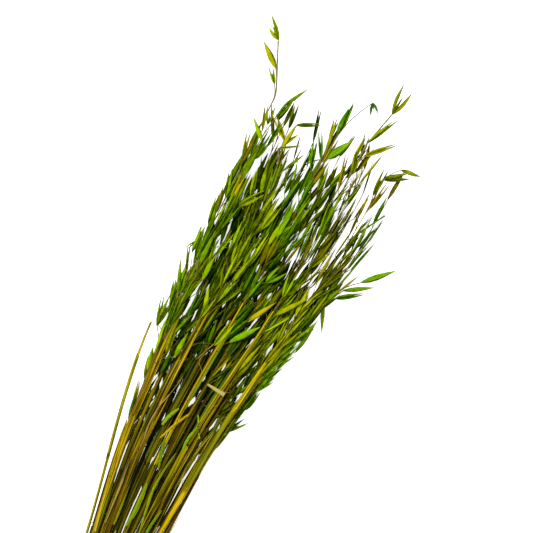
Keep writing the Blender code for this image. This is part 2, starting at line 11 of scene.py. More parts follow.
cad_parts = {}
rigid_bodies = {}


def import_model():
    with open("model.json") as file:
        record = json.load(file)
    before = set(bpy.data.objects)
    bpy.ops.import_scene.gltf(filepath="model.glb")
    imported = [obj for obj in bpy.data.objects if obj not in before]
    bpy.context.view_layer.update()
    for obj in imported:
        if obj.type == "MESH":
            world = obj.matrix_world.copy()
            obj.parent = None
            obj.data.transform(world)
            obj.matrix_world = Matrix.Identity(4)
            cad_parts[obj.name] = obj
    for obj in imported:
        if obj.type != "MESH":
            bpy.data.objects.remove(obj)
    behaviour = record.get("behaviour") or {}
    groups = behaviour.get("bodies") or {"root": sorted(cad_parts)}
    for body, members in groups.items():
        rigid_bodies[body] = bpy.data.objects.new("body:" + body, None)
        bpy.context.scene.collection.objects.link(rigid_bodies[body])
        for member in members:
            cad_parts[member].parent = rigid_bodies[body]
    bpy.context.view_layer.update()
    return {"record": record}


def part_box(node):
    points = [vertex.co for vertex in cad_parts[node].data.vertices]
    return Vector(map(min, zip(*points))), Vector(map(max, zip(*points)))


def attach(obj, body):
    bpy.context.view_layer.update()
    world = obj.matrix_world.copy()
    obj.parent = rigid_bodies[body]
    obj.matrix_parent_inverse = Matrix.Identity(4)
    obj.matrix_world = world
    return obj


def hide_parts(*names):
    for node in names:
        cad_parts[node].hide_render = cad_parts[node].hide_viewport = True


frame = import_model()
tieLow, tieHigh = (Vector(corner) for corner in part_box("tie"))
tiePlace = Vector(((tieLow.x + tieHigh.x) / 2, (tieLow.y + tieHigh.y) / 2, 0.0))  # lengths start here
slotOf = {part["node"]: part["material_slot"] for part in frame["record"]["subparts"]}
mm = 0.001

# How the bundle grows out of its tie, in metres; the solids follow the same rule
bundle = {
    "seed": 417,
    "looksSeed": 424,
    "cutEnd": -0.060,  # where the straws are cut, behind the tie
    "cutUneven": 0.006,
    "gap": 0.0003,
    "rows": (5, 6, 7, 6, 5),  # straws in each row of the tied bundle, lowest row first
    "strawRadius": 0.0016,
    "girth": (0.75, 1.25),  # how much thicker a straw gets above the tie
    "girthEnd": 0.09,
    "thinLength": 0.060,  # each straw thins over this length below its head
    "nodePlace": (0.10, 0.21),
    "pitch": 0.00375,  # from straw to straw inside the tie
    "tieHalf": 0.006,
    "tieThickness": 0.0016,
    "straightHalf": 0.009,
    "fanLeft": 0.043,
    "fanLeftLength": 0.150,
    "fanRight": 0.024,
    "fanRightLength": 0.080,
    "fanRightSwell": 0.043,
    "fanRightSwells": (0.20, 0.50),  # between these distances from the tie
    "fanEase": 0.025,
    "rowSpread": (1.30, 1.10, 1.0, 1.10, 1.30),
    "headRowHeight": 0.009,
    "headRowStep": 0.0112,
    "spreadEnd": 0.25,
    "riseEnd": 0.30,
    "buttSplay": 10.0,
    "bow": 0.0035,  # how far a straw sways
    "lift": 0.0015,
    "swayRates": (12, 14),
    "swayLength": 0.3,
    "swingLength": 0.045,  # a leader turns aside over this length
    "brokenSwing": 0.19,
}
bundle["rowPitch"] = bundle["pitch"] * math.sqrt(3) / 2
bundle["firstRow"] = bundle["tieThickness"] + bundle["gap"] + bundle["strawRadius"]

# How spikelets sit on the heads
head = {
    "firstStart": 0.205,
    "rowShift": 0.030,
    "centreShift": 0.025,
    "startSpread": 0.040,
    "length": (0.185, 0.225),
    "limit": (0.515, 0.535),
    "stalkRadius": (0.0010, 0.0007),
    "pieces": 6,
    "twigRadius": 0.00043,
    "whorls": 8,
    "rounds": 14,
    "whorlLimit": 0.490,  # past here a head has only its end spikelet and its sprays
    "spikeletLength": (0.024, 0.033),
    "spikeletWidth": (0.0037, 0.0049),
    "spikeletOpen": (0.0010, 0.0055),
    "spikeletStagger": (-0.002, 0.003),
    "widest": 0.40,
    "longTwig": 0.032,
    "shortTwig": 0.009,
    "twigShare": (0.35, 1.0),
    "twigAngle": (0.18, 0.45),
    "lean": (-0.12, 0.30),
    "endTurn": (0.25, 0.20),
    "sprayRoll": 0.5,
    "roll": 0.9,
    "golden": 0.6180339887,
    "headTurn": 0.37,
    "whorlSpread": 0.6,
    "margin": 0.006,
    "rootDepth": 0.003,
    "sprayStep": 0.0012,  # a spray that finds no room is tried this much higher or lower
    "sprayTipRise": 1.5,
    "sprayFromStart": 0.005,
    "endStep": 0.010,
    "lookAhead": 0.003,
    "firstRoom": 0.17,
    "tries": 30,
    "beadStep": 0.0016,  # beads stand for a spikelet when room is sought
    "strawBeadStep": 0.002,
    "beadPlace": 0.45,
    "beadSize": 0.25,
    "tipBead": 0.0002,
    "bareRoot": (0.005, 0.6),
    "clearance": 0.0004,
    "roomMargin": 0.006,
}

# Heads that reach past the rest: where the stalk ends and the tip of its last spikelet. A row may go
# on with a fork: how wide it is and how much earlier its second point ends. All these are in mm. It may
# end with a look: lightness, hue (gold above 0, blue-green below) and width
leaders = {
    (3, 5): ((582, 65), (598, 83), (5.0, 11.0), (0.58, 0.35, 1.65)),
    (4, 4): ((531, 37), (555, 24), (), (0.35, 0.20, 1.10)),
    (4, 3): ((500, 22), (523, 20)),
    (4, 2): ((532, -16), (563, -17), (), (0.30, 0.00, 1.20)),
    (4, 1): ((566, -50), (592, -53), (7.8, -4.3), (0.40, 0.50, 2.00)),
    (4, 0): ((512, -67), (525, -87), (3.5, 0.0), (0.13, -0.10, 1.75)),
    (3, 0): ((466, -71), (486, -82)),
}
brokenStraw = (2, 6)
brokenEnd = (318, 60)

# Spikelets that stand out of the bundle: head, branching place, neck, tip, and maybe fork and look
sprays = (
    ((3, 5), 545, (560, 57), (574, 73), (3.4, -4.7), (0.55, 0.55, 1.30)),
    ((3, 5), 532, (547, 52), (560, 62), (), (0.60, -0.15, 1.15)),
    ((4, 3), 495, (523, 19), (533, -1), (0.8, 0.0), (0.20, 0.00, 1.25)),
    ((4, 3), 480, (498, 25), (510, 6), (1.0, 2.0), (0.45, 0.10, 1.15)),
    ((4, 3), 482, (502, 23), (518, 14), (0.8, 0.0), (0.65, 0.30, 0.75)),
    ((4, 3), 465, (483, 13), (505, 2), (0.8, 0.0), (0.15, 0.00, 1.25)),
    ((4, 2), 525, (568, -31), (558, -37), (3.0, 1.0), (0.35, -0.80, 1.20)),
    ((4, 1), 520, (536, -42), (567, -57), (3.0, 5.0), (0.50, 0.40, 1.50)),
    ((4, 1), 500, (515, -37), (543, -38), (1.5, 2.0), (0.60, 0.45, 0.95)),
    ((4, 1), 505, (524, -44), (548, -68), (2.0, 0.0), (0.50, 0.50, 1.15)),
    ((4, 1), 478, (500, -50), (537, -59), (1.5, 0.0), (0.70, 0.60, 1.20)),
    ((4, 0), 480, (497, -65), (525, -66), (), (0.22, 0.00, 1.30)),
    ((4, 0), 508, (527, -78), (529, -96), (1.0, 1.0), (0.25, 0.10, 1.05)),
    ((3, 0), 415, (434, -73), (459, -80)),
    ((2, 0), 392, (426, -89), (447, -111), (5.2, 0.0), (0.40, 0.00, 1.10)),
    ((2, 0), 380, (413, -78), (427, -102), (1.0, 0.0), (0.20, 0.10, 1.05)),
    ((2, 0), 365, (404, -75), (419, -97), (1.0, 0.0)),
    ((3, 0), 401, (397, -66), (370, -77)),
    ((1, 0), 335, (355, -60), (371, -69)),
    ((1, 0), 300, (328, -54), (346, -65)),
    ((1, 0), 282, (300, -46), (319, -57)),
    ((0, 0), 236, (259, -40), (277, -53)),
    ((1, 5), 288, (316, 54), (346, 62), (), (0.35, 0.00, 1.15)),
    ((1, 5), 404, (401, 53), (384, 62)),
    ((2, 5), 500, (521, 36), (545, 31)),
    ((2, 3), 492, (524, -11), (545, -9), (), (0.45, 0.20, 1.05)),
    ((3, 3), 488, (506, -12), (529, 0), (), (0.50, -0.20, 0.85)),
    ((4, 2), 490, (509, -17), (530, -29), (), (0.55, -0.40, 1.65)),
    ((4, 4), 480, (498, 40), (514, 57)),
    ((3, 4), 490, (507, 23), (525, 43), (), (0.80, 0.60, 1.00)),
    ((3, 5), 485, (506, 44), (531, 51)),
    ((2, 3), 478, (498, -6), (520, 0)),
    ((2, 5), 490, (503, 32), (531, 47)),
    ((2, 2), 482, (501, -38), (522, -46)),
    ((3, 1), 505, (523, -42), (544, -38)),
    ((3, 1), 490, (510, -44), (531, -48)),
    ((1, 5), 380, (398, 44), (423, 50)),
    ((3, 5), 425, (442, 48), (469, 55)),
    ((3, 5), 450, (468, 47), (491, 51)),
    ((1, 5), 318, (341, 53), (363, 56)),
    ((1, 5), 262, (278, 42), (301, 46)),
    ((2, 0), 352, (369, -63), (392, -63)),
    ((2, 0), 330, (347, -58), (367, -61)),
    ((0, 0), 280, (302, -49), (322, -56)),
    ((0, 0), 262, (284, -47), (304, -51)),
)

# Finer spikelets among them: head, neck, tip and look
extras = (
    ((4, 4), (513, 42), (530, 46), (0.45, 0.40, 1.05)),
    ((4, 4), (496, 34), (523, 31), (0.22, 0.00, 1.15)),
    ((4, 4), (521, 37), (541, 32), (0.20, 0.00, 1.15)),
    ((4, 4), (483, 38), (506, 34), (0.40, 0.20, 1.10)),
    ((2, 3), (512, -13), (545, -9), (0.40, 0.20, 1.15)),
    ((4, 2), (531, -15), (556, -14), (0.18, 0.00, 1.15)),
    ((3, 3), (494, -4), (516, 1), (0.45, 0.10, 1.10)),
    ((4, 2), (495, -7), (520, 0), (0.35, 0.00, 1.05)),
    ((2, 3), (504, -15), (529, -17), (0.55, 0.70, 1.10)),
    ((4, 1), (505, -41), (524, -38), (0.45, 0.50, 1.10)),
    ((2, 4), (471, 6), (487, 11), (0.55, 0.10, 1.00)),
    ((3, 3), (478, 1), (497, 6), (0.50, 0.00, 1.05)),
    ((3, 2), (481, -21), (506, -19), (0.50, 0.10, 1.10)),
    ((3, 2), (488, -29), (512, -36), (0.40, 0.00, 1.15)),
    ((4, 2), (332, -9), (354, -26), (0.60, 0.00, 1.60)),
    ((4, 2), (354, -15), (380, -30), (0.70, 1.00, 1.15)),
    ((4, 1), (370, -35), (396, -54), (0.55, 0.50, 1.15)),
    ((4, 1), (386, -33), (409, -32), (0.80, 0.00, 1.20)),
    ((4, 2), (391, -15), (408, -24), (0.70, 0.00, 1.50)),
    ((4, 3), (397, 5), (429, 0), (0.80, 0.10, 1.15)),
    ((4, 4), (417, 44), (439, 42), (0.55, -0.10, 1.35)),
    ((4, 4), (442, 43), (465, 42), (0.70, 0.90, 1.05)),
    ((4, 3), (431, 8), (456, 2), (0.70, 0.20, 1.30)),
    ((4, 2), (429, -7), (450, -13), (0.65, 0.10, 1.50)),
    ((4, 2), (444, -15), (471, -20), (0.60, 0.30, 1.20)),
    ((4, 2), (415, -17), (452, -32), (0.45, 0.00, 1.25)),
    ((4, 3), (440, 34), (460, 19), (0.45, 0.20, 1.30)),
    ((4, 3), (324, 2), (350, -4), (0.75, 0.10, 1.40)),
    ((4, 4), (300, 28), (324, 27), (0.50, 0.00, 1.20)),
    ((3, 2), (366, -20), (390, -23), (0.40, 0.00, 1.20)),
    ((4, 4), (370, 35), (394, 34), (0.55, 0.10, 1.10)),
    ((4, 3), (393, 8), (416, 6), (0.45, 0.00, 1.15)),
    ((4, 3), (420, -3), (446, -5), (0.50, 0.10, 1.10)),
    ((4, 2), (455, -12), (481, -15), (0.45, 0.00, 1.10)),
    ((3, 2), (461, -19), (486, -12), (0.25, 0.00, 1.10)),
    ((3, 3), (457, 1), (481, -3), (0.40, 0.10, 1.05)),
    ((3, 4), (458, 22), (483, 28), (0.30, 0.00, 1.10)),
    ((4, 3), (452, 29), (477, 34), (0.50, 0.20, 1.05)),
    ((3, 4), (469, 14), (492, 20), (0.40, 0.10, 1.05)),
    ((1, 1), (296, -38), (322, -38), (0.10, 0.00, 1.10)),
    ((4, 4), (300, 36), (322, 38), (0.40, 0.50, 1.10)),
    ((1, 5), (318, 54), (350, 53), (0.35, 0.30, 1.20)),
    ((3, 5), (352, 50), (378, 60), (0.35, 0.10, 1.10)),
    ((3, 5), (372, 52), (397, 60), (0.30, 0.30, 1.10)),
    ((1, 5), (338, 49), (364, 56), (0.40, 0.00, 1.10)),
    ((4, 4), (372, 36), (398, 41), (0.50, 0.10, 1.10)),
    ((4, 4), (392, 34), (417, 29), (0.45, 0.20, 1.10)),
    ((4, 4), (404, 24), (430, 24), (0.60, 0.00, 1.10)),
)


def ramp(low, high, value):  # 0 at low, 1 at high, no kink at either
    share = min(max((value - low) / (high - low), 0.0), 1.0)
    return share * share * (3.0 - 2.0 * share)


def mix(first, second, share):
    return first + (second - first) * share


def turnTo(first, second, angle):  # the first way, turned towards the second
    return first * math.cos(angle) + second * math.sin(angle)


def anyOutward(ahead, rng):  # some way straight out of a stalk
    level = Vector((0, 0, 1)).cross(ahead).normalized()
    return turnTo(level, ahead.cross(level), rng.uniform(0, math.tau))


def placed(place, height):  # a place in mm from the tie, at a height in metres
    return Vector((place[0] * mm, place[1] * mm, height))


def planOats(rng):  # every straw's place in the tie, its bend and the ends of its head
    oats = []
    for row, count in enumerate(bundle["rows"]):
        for place in range(count):
            across = (place - (count - 1) / 2) * bundle["pitch"]
            slot = across / (3 * bundle["pitch"])
            start = head["firstStart"] + head["rowShift"] * row + rng.uniform(0, head["startSpread"])
            if row > 1:
                start += head["centreShift"] * (1 - abs(slot))
            oats.append({
                "where": (row, place),
                "row": row,
                "across": across,
                "slot": slot,
                "start": start,
                "end": min(start + rng.uniform(*head["length"]), rng.uniform(*head["limit"])),
                "bow": rng.uniform(-bundle["bow"], bundle["bow"]),
                "lift": rng.uniform(-bundle["lift"], bundle["lift"]),
                "phase": rng.uniform(0, math.tau),
                "girth": rng.uniform(*bundle["girth"]),
                "cut": bundle["cutEnd"] + rng.uniform(0, bundle["cutUneven"]),
                "swing": 0.0,
                "swingLength": bundle["swingLength"],
                "hasHead": True,
            })
    for oat in oats:
        where = oat["where"]
        if where == brokenStraw:
            oat["hasHead"] = False
            oat["swingLength"] = bundle["brokenSwing"]
        if where in leaders or where == brokenStraw:
            endX, endY = leaders[where][0] if where in leaders else brokenEnd
            oat["end"] = endX * mm
            oat["swing"] = endY * mm - strawPoint(oat, oat["end"]).y
        if where == brokenStraw:
            oat["start"] = oat["end"]
    return oats


def strawPoint(oat, x):  # middle of a straw, or of its head's stalk
    past = max(x - bundle["straightHalf"], 0.0)
    reach = past * past / (past + bundle["fanEase"])
    half = 3 * bundle["pitch"]
    left = half + bundle["fanLeft"] * (1 - math.exp(-reach / bundle["fanLeftLength"]))
    right = -half - bundle["fanRight"] * (1 - math.exp(-reach / bundle["fanRightLength"]))
    right -= bundle["fanRightSwell"] * ramp(*bundle["fanRightSwells"], x)
    slot = oat["slot"] * mix(1.0, bundle["rowSpread"][oat["row"]], ramp(0, bundle["spreadEnd"], x))
    y = mix(right, left, (1 + slot) / 2)
    tiedHeight = bundle["firstRow"] + oat["row"] * bundle["rowPitch"]
    headHeight = bundle["headRowHeight"] + oat["row"] * bundle["headRowStep"]
    z = mix(tiedHeight, headHeight, ramp(bundle["straightHalf"], bundle["riseEnd"], x))
    sway = min(reach / bundle["swayLength"], 1.0)
    rates = bundle["swayRates"]
    y += oat["bow"] * sway * math.sin(rates[0] * x + oat["phase"])
    z += oat["lift"] * sway * math.cos(rates[1] * x + oat["phase"])
    y += oat["swing"] * ramp(oat["end"] - oat["swingLength"], oat["end"], x)
    behind = max(-bundle["straightHalf"] - x, 0.0)
    opening = bundle["buttSplay"] * behind * behind / (behind + bundle["fanEase"])
    y += oat["across"] * opening
    z += oat["row"] * bundle["rowPitch"] * opening
    return Vector((x, y, z))


def headPoint(oat, x):  # a head's stalk runs straight from ring to ring
    share = (x - oat["start"]) / (oat["end"] - oat["start"]) * head["pieces"]
    ringNumber = min(int(share), head["pieces"] - 1)
    length = (oat["end"] - oat["start"]) / head["pieces"]
    near = strawPoint(oat, oat["start"] + length * ringNumber)
    far = strawPoint(oat, oat["start"] + length * (ringNumber + 1))
    return near.lerp(far, share - ringNumber)


def strawRadius(oat, x):
    own = bundle["strawRadius"] * oat["girth"]
    full = mix(bundle["strawRadius"], own, ramp(bundle["straightHalf"], bundle["girthEnd"], x))
    return mix(full, head["stalkRadius"][0], ramp(oat["start"] - bundle["thinLength"], oat["start"], x))


def headRadius(oat, x):
    share = (x - oat["start"]) / (oat["end"] - oat["start"])
    return mix(head["stalkRadius"][0], head["stalkRadius"][1], share)


class Room:  # remembers what space is taken, as beads strung along every piece
    def __init__(self):
        self.beads = np.zeros((0, 4))
        self.owners = np.zeros(0, int)

    def take(self, beads, owner=-1):
        self.beads = np.vstack([self.beads, beads])
        self.owners = np.concatenate([self.owners, np.full(len(beads), owner)])

    def isClear(self, beads, ignored=-2):
        low = beads[:, :3].min(axis=0) - head["roomMargin"]
        high = beads[:, :3].max(axis=0) + head["roomMargin"]
        inside = (self.beads[:, :3] > low) & (self.beads[:, :3] < high)
        others = self.beads[inside.all(axis=1) & (self.owners != ignored)]
        apart = np.linalg.norm(beads[:, None, :3] - others[None, :, :3], axis=2)
        reach = beads[:, None, 3] + others[None, :, 3] + head["clearance"]
        onSurface = (beads[:, 2] - beads[:, 3]).min() > 0.0
        return onSurface and not (apart < reach).any()


def beadRow(start, end, radiusStart, radiusEnd):
    count = max(2, int((end - start).length / head["beadStep"]) + 1)
    rows = []
    for index in range(count):
        share = index / (count - 1)
        point = start.lerp(end, share)
        rows.append((point.x, point.y, point.z, mix(radiusStart, radiusEnd, share)))
    return np.array(rows)


def forkPoints(spikelet):  # the two wide corners and the two tips
    along = (spikelet["tip"] - spikelet["neck"]).normalized()
    side = spikelet["side"]
    middle = spikelet["neck"].lerp(spikelet["tip"], head["widest"])
    left = middle + side * spikelet["width"] / 2
    right = middle - side * spikelet["width"] / 2
    leftTip = spikelet["tip"] + side * spikelet["open"] / 2
    rightTip = spikelet["tip"] - side * spikelet["open"] / 2 - along * spikelet["stagger"]
    return left, right, leftTip, rightTip


def spikeletBeads(spikelet):
    left, right, leftTip, rightTip = forkPoints(spikelet)
    neck = spikelet["neck"]
    middle = neck.lerp(spikelet["tip"], head["widest"])
    inner = spikelet["width"] * head["beadSize"]
    left = left.lerp(middle, head["beadPlace"])
    right = right.lerp(middle, head["beadPlace"])
    twig = head["twigRadius"]
    body = np.vstack([
        beadRow(neck, left, twig, inner),
        beadRow(neck, right, twig, inner),
        beadRow(left, leftTip, inner, head["tipBead"]),
        beadRow(right, rightTip, inner, head["tipBead"]),
    ])
    line = neck - spikelet["root"]
    bare = min(head["bareRoot"][0], line.length * head["bareRoot"][1])
    return body, beadRow(spikelet["root"] + line.normalized() * bare, neck, twig, twig)


def keepIfClear(spikelet, room, spikelets):
    body, twig = spikeletBeads(spikelet)
    if not (room.isClear(body) and room.isClear(twig, ignored=spikelet["head"])):
        return False
    room.take(body)
    room.take(twig)
    spikelets.append(spikelet)
    return True


def newSpikelet(owner, root, neck, tip, roll, rng, fork=(), look=()):  # owner: the head's number
    along = (tip - neck).normalized()
    level = along.cross(Vector((0, 0, 1))).normalized()
    upright = level.cross(along)
    spikelet = {
        "head": owner,
        "root": root,
        "neck": neck,
        "tip": tip,
        "side": turnTo(level, upright, roll),
        "width": rng.uniform(*head["spikeletWidth"]),
        "open": rng.uniform(*head["spikeletOpen"]),
        "stagger": rng.uniform(*head["spikeletStagger"]),
        "shade": 1.0,
        "isSpray": False,
        "isLeader": False,
        "look": look,
    }
    if fork:
        spikelet["open"], spikelet["stagger"] = fork[0] * mm, fork[1] * mm
    return spikelet


def placeEnds(oats, room, rng, spikelets):  # one spikelet straight on at the end of each head
    for owner, oat in enumerate(oats):
        if not oat["hasHead"]:
            continue
        end = headPoint(oat, oat["end"])
        ahead = (end - headPoint(oat, oat["end"] - head["endStep"])).normalized()
        length = rng.uniform(*head["spikeletLength"])
        _, leaderTip, *rest = leaders.get(oat["where"], (None, None))
        fork, look, *_ = (*rest, (), ())
        for _ in range(head["tries"]):
            aside = rng.uniform(-head["endTurn"][0], head["endTurn"][0])
            turn = Vector((0, aside, rng.uniform(-head["endTurn"][1], head["endTurn"][1])))
            tip = end + (ahead + turn).normalized() * length
            if leaderTip:
                tip = placed(leaderTip, tip.z)
            root = end - ahead * head["rootDepth"]
            roll = rng.uniform(-head["roll"], head["roll"])
            spikelet = newSpikelet(owner, root, end + ahead * mm, tip, roll, rng, fork, look)
            spikelet["isSpray"] = spikelet["isLeader"] = bool(leaderTip)
            if keepIfClear(spikelet, room, spikelets):
                break


def numbersByPlace(oats):
    return {oat["where"]: number for number, oat in enumerate(oats)}


def placeSprays(oats, room, rng, spikelets):  # the spikelets that stand out of the bundle
    numbers = numbersByPlace(oats)
    for where, branch, neckPlace, tipPlace, *rest in sprays:
        fork, look, *_ = (*rest, (), ())
        owner = numbers[where]
        oat = oats[owner]
        root = headPoint(oat, max(branch * mm, oat["start"] + head["sprayFromStart"]))
        for attempt in range(head["tries"]):
            rise = (attempt + 1) // 2 * head["sprayStep"] * (1 if attempt % 2 else -1)
            neck = placed(neckPlace, root.z + rise)
            tip = placed(tipPlace, root.z + rise * head["sprayTipRise"])
            roll = rng.uniform(-head["sprayRoll"], head["sprayRoll"])
            spikelet = newSpikelet(owner, root, neck, tip, roll, rng, fork, look)
            spikelet["isSpray"] = True
            if keepIfClear(spikelet, room, spikelets):
                break


def placeRound(number, oats, room, rng, spikelets):  # one more spikelet on every head
    for owner, oat in enumerate(oats):
        if not oat["hasHead"]:
            continue
        turned = (number + 1) * head["golden"] + owner * head["headTurn"]
        share = int(turned % 1 * head["whorls"]) / head["whorls"]
        last = min(oat["end"], head["whorlLimit"]) - head["margin"]
        for _ in range(head["tries"]):
            along = share + rng.uniform(0, head["whorlSpread"]) / head["whorls"]
            root = headPoint(oat, mix(oat["start"] + head["margin"], last, along))
            ahead = (headPoint(oat, root.x + head["lookAhead"]) - root).normalized()
            outward = anyOutward(ahead, rng)
            twig = mix(head["longTwig"], head["shortTwig"], share) * rng.uniform(*head["twigShare"])
            angle = rng.uniform(*head["twigAngle"])
            neck = root + turnTo(ahead, outward, angle) * twig
            lean = rng.uniform(*head["lean"])
            tip = neck + turnTo(ahead, outward, lean) * rng.uniform(*head["spikeletLength"])
            roll = rng.uniform(-head["roll"], head["roll"])
            spikelet = newSpikelet(owner, root, neck, tip, roll, rng)
            if keepIfClear(spikelet, room, spikelets):
                break


def placeSpikelets(oats):  # the spikelets that the solids have
    rng = random.Random(bundle["seed"] + 1)
    room = Room()
    step = head["strawBeadStep"]
    for number, oat in enumerate(oats):
        for x in np.arange(head["firstRoom"], oat["start"], step):
            room.take(np.array([(*strawPoint(oat, x), strawRadius(oat, x))]))
        if oat["hasHead"]:
            for x in np.arange(oat["start"], oat["end"] - step, step):
                room.take(np.array([(*headPoint(oat, x), headRadius(oat, x))]), number)
    spikelets = []
    placeEnds(oats, room, rng, spikelets)
    placeSprays(oats, room, rng, spikelets)
    for number in range(head["rounds"]):
        placeRound(number, oats, room, rng, spikelets)
    return spikelets


# The finer spikelets between those of the solids, close along each head like a loose plait
fill = {
    "seed": 52,
    "layers": (  # the second one is darker, as painted shade, and closes the inside
        {"perHead": 32, "clear": 0.0023, "from": 0.0, "to": 0.500, "outTo": 9.0, "bright": 1.0},
        {"perHead": 16, "clear": 0.0014, "from": 0.225, "to": 0.430, "outTo": 0.70, "bright": 0.55},
    ),
    "tries": 16,
    "strawStep": 0.004,
    "headTurn": 0.29,
    "wander": 0.1,
    "ends": (-0.045, -0.030),  # how far before a head's ends they may begin
    "tight": (0.37, 0.45),  # past here they lie close to the stalks, like plaits
    "tightShare": 0.50,
    "twig": (0.004, 0.018),
    "twigShare": (1.4, 0.5),
    "angle": (0.03, 0.36),
    "lean": (-0.30, 0.46),
    "drift": 0.10,  # they lean this much to the bundle's right
    "roll": 1.2,
    "length": (0.021, 0.031),
    "samples": 6,  # points of a spikelet that keep clear of the others
    "reach": (0.20, 0.34, 0.38, 0.44, 0.48, 0.52),  # how far from the tie
    "share": (1.0, 1.0, 0.90, 0.60, 0.50, 0.25),  # and the share of tries that are taken there
    "partings": (  # none are added here: middle, half length and half width, in mm
        (432, -32, 28, 14),
        (484, -54, 36, 17),
        (450, -74, 34, 17),
        (496, 8, 18, 12),
        (468, 8, 8, 6),
        (409, -51, 19, 8),
        (388, 56, 10, 6),
        (437, -57, 14, 6),
        (411, -77, 8, 6),
        (438, 46, 9, 5),
    ),
    "partedSlim": 0.52,  # how slim the spikelets of the solids are there
    "lowest": 0.0045,
    "furthest": 0.510,
    "widest": 1.0,  # their tips stay inside this much of the fan's width
    "extraRoot": 0.014,  # how far back an extra spikelet branches off
    "extraRise": (0.001, 0.005),
}


def samplePoints(spikelet):
    count = fill["samples"]
    return [spikelet["neck"].lerp(spikelet["tip"], (i + 0.5) / count) for i in range(count)]


def neighbourTree(points):
    tree = KDTree(len(points))
    for number, point in enumerate(points):
        tree.insert(point, number)
    tree.balance()
    return tree


def fillSpikelet(owner, oat, share, rng):
    along = mix(oat["start"] + fill["ends"][0], oat["end"] + fill["ends"][1], share)
    isOnHead = along > oat["start"]
    root = headPoint(oat, along) if isOnHead else strawPoint(oat, along)
    ahead = (headPoint(oat, max(along, oat["start"]) + head["lookAhead"]) - root).normalized()
    outward = anyOutward(ahead, rng)
    spread = mix(1.0, fill["tightShare"], ramp(*fill["tight"], root.x))
    angle = rng.uniform(*fill["angle"]) * spread
    twig = rng.uniform(*fill["twig"]) * mix(*fill["twigShare"], share)
    neck = root + turnTo(ahead, outward, angle) * twig
    lean = rng.uniform(*fill["lean"]) * spread
    length = rng.uniform(*fill["length"])
    way = turnTo(ahead, outward, lean) - Vector((0, fill["drift"], 0))
    tip = neck + way.normalized() * length
    return newSpikelet(owner, root, neck, tip, rng.uniform(-fill["roll"], fill["roll"]), rng)


def isInParting(point):
    for x, y, halfLength, halfWidth in fill["partings"]:
        if math.hypot((point.x / mm - x) / halfLength, (point.y / mm - y) / halfWidth) < 1:
            return True
    return False


def isAside(point):
    middle, halfWidth, _ = bundleSection(point.x, True)
    return abs(point.y - middle.y) > halfWidth * fill["widest"]


def placeExtras(oats, spikelets):  # the finer spikelets that have a place of their own
    rng = random.Random(fill["seed"] + 1)
    numbers = numbersByPlace(oats)
    for where, neckPlace, tipPlace, look in extras:
        owner = numbers[where]
        root = headPoint(oats[owner], neckPlace[0] * mm - fill["extraRoot"])
        height = root.z + rng.uniform(*fill["extraRise"])
        neck = placed(neckPlace, height)
        tip = placed(tipPlace, height + rng.uniform(*fill["extraRise"]))
        roll = rng.uniform(-head["sprayRoll"], head["sprayRoll"])
        spikelets.append(newSpikelet(owner, root, neck, tip, roll, rng, look=look))


def findFill(owner, oat, number, layer, tree, rng):  # a spikelet where there is room for one, or None
    for _ in range(fill["tries"]):
        turned = number * head["golden"] + owner * fill["headTurn"]
        share = (turned + rng.uniform(0, fill["wander"])) % 1
        spikelet = fillSpikelet(owner, oat, share, rng)
        if rng.random() > np.interp(spikelet["tip"].x, fill["reach"], fill["share"]):
            return None
        middle = spikelet["neck"].lerp(spikelet["tip"], 0.5)
        isIn = (
            layer["from"] < middle.x < layer["to"]
            and spikelet["tip"].x < fill["furthest"]
            and min(spikelet["neck"].z, spikelet["tip"].z) > fill["lowest"]
            and howFarOut(middle, True) < layer["outTo"]
            and not isInParting(middle)
            and not isAside(spikelet["tip"])
        )
        clear = layer["clear"] * mix(1.0, fill["tightShare"], ramp(*fill["tight"], middle.x))
        if isIn and all(tree.find(point)[2] > clear for point in samplePoints(spikelet)):
            spikelet["shade"] = layer["bright"]
            return spikelet
    return None


def placeFill(oats, spikelets):  # the rest of the finer spikelets, a layer at a time
    rng = random.Random(fill["seed"])
    taken = [point for spikelet in spikelets for point in samplePoints(spikelet)]
    for oat in oats:
        places = np.arange(head["firstRoom"], oat["start"], fill["strawStep"])
        taken += [strawPoint(oat, x) for x in places]
    for layer in fill["layers"]:
        for number in range(layer["perHead"]):
            tree = neighbourTree(taken)
            for owner, oat in enumerate(oats):
                spikelet = findFill(owner, oat, number, layer, tree, rng) if oat["hasHead"] else None
                if spikelet:
                    spikelets.append(spikelet)
                    taken += samplePoints(spikelet)


# Painted shade: the inside of the bundle is painted darker than its outside
depth = {
    "headWidth": 1.12,  # of the fan's half width
    "headHeight": 0.030,
    "strawHeight": 1.25,  # of the rows' half height
    "darkestStraw": 0.38,
    "darkestHead": 0.42,
    "from": 0.40,  # of the way out to the bundle's outside
    "to": 0.95,
    "free": (0.72, 1.20),  # out here a piece stands free, and is lit from all sides
    "freeGain": 1.3,
}


midStraw = {  # a straight straw in the bundle's middle
    **dict.fromkeys(("slot", "across", "bow", "lift", "phase", "swing"), 0.0),
    "row": 2,
    "swingLength": 1.0,
    "end": 9.0,
}


def bundleSection(x, isHead):  # the bundle's middle and half its width and height at one place
    middle = strawPoint(midStraw, x)
    left, right = (strawPoint({**midStraw, "slot": slot}, x).y for slot in (1, -1))
    low, high = (strawPoint({**midStraw, "row": row}, x).z for row in (0, 4))
    halfHeight = depth["headHeight"] if isHead else (high - low) / 2 * depth["strawHeight"]
    return middle, (left - right) / 2 * depth["headWidth"], halfHeight


def howFarOut(point, isHead):  # 0 in the bundle's middle, about 1 at its outside
    middle, halfWidth, halfHeight = bundleSection(point.x, isHead)
    return math.hypot((point.y - middle.y) / halfWidth, (point.z - middle.z) / halfHeight)


def outwardShade(point, isHead):
    darkest = depth["darkestHead"] if isHead else depth["darkestStraw"]
    return mix(darkest, 1.0, ramp(depth["from"], depth["to"], howFarOut(point, isHead)))


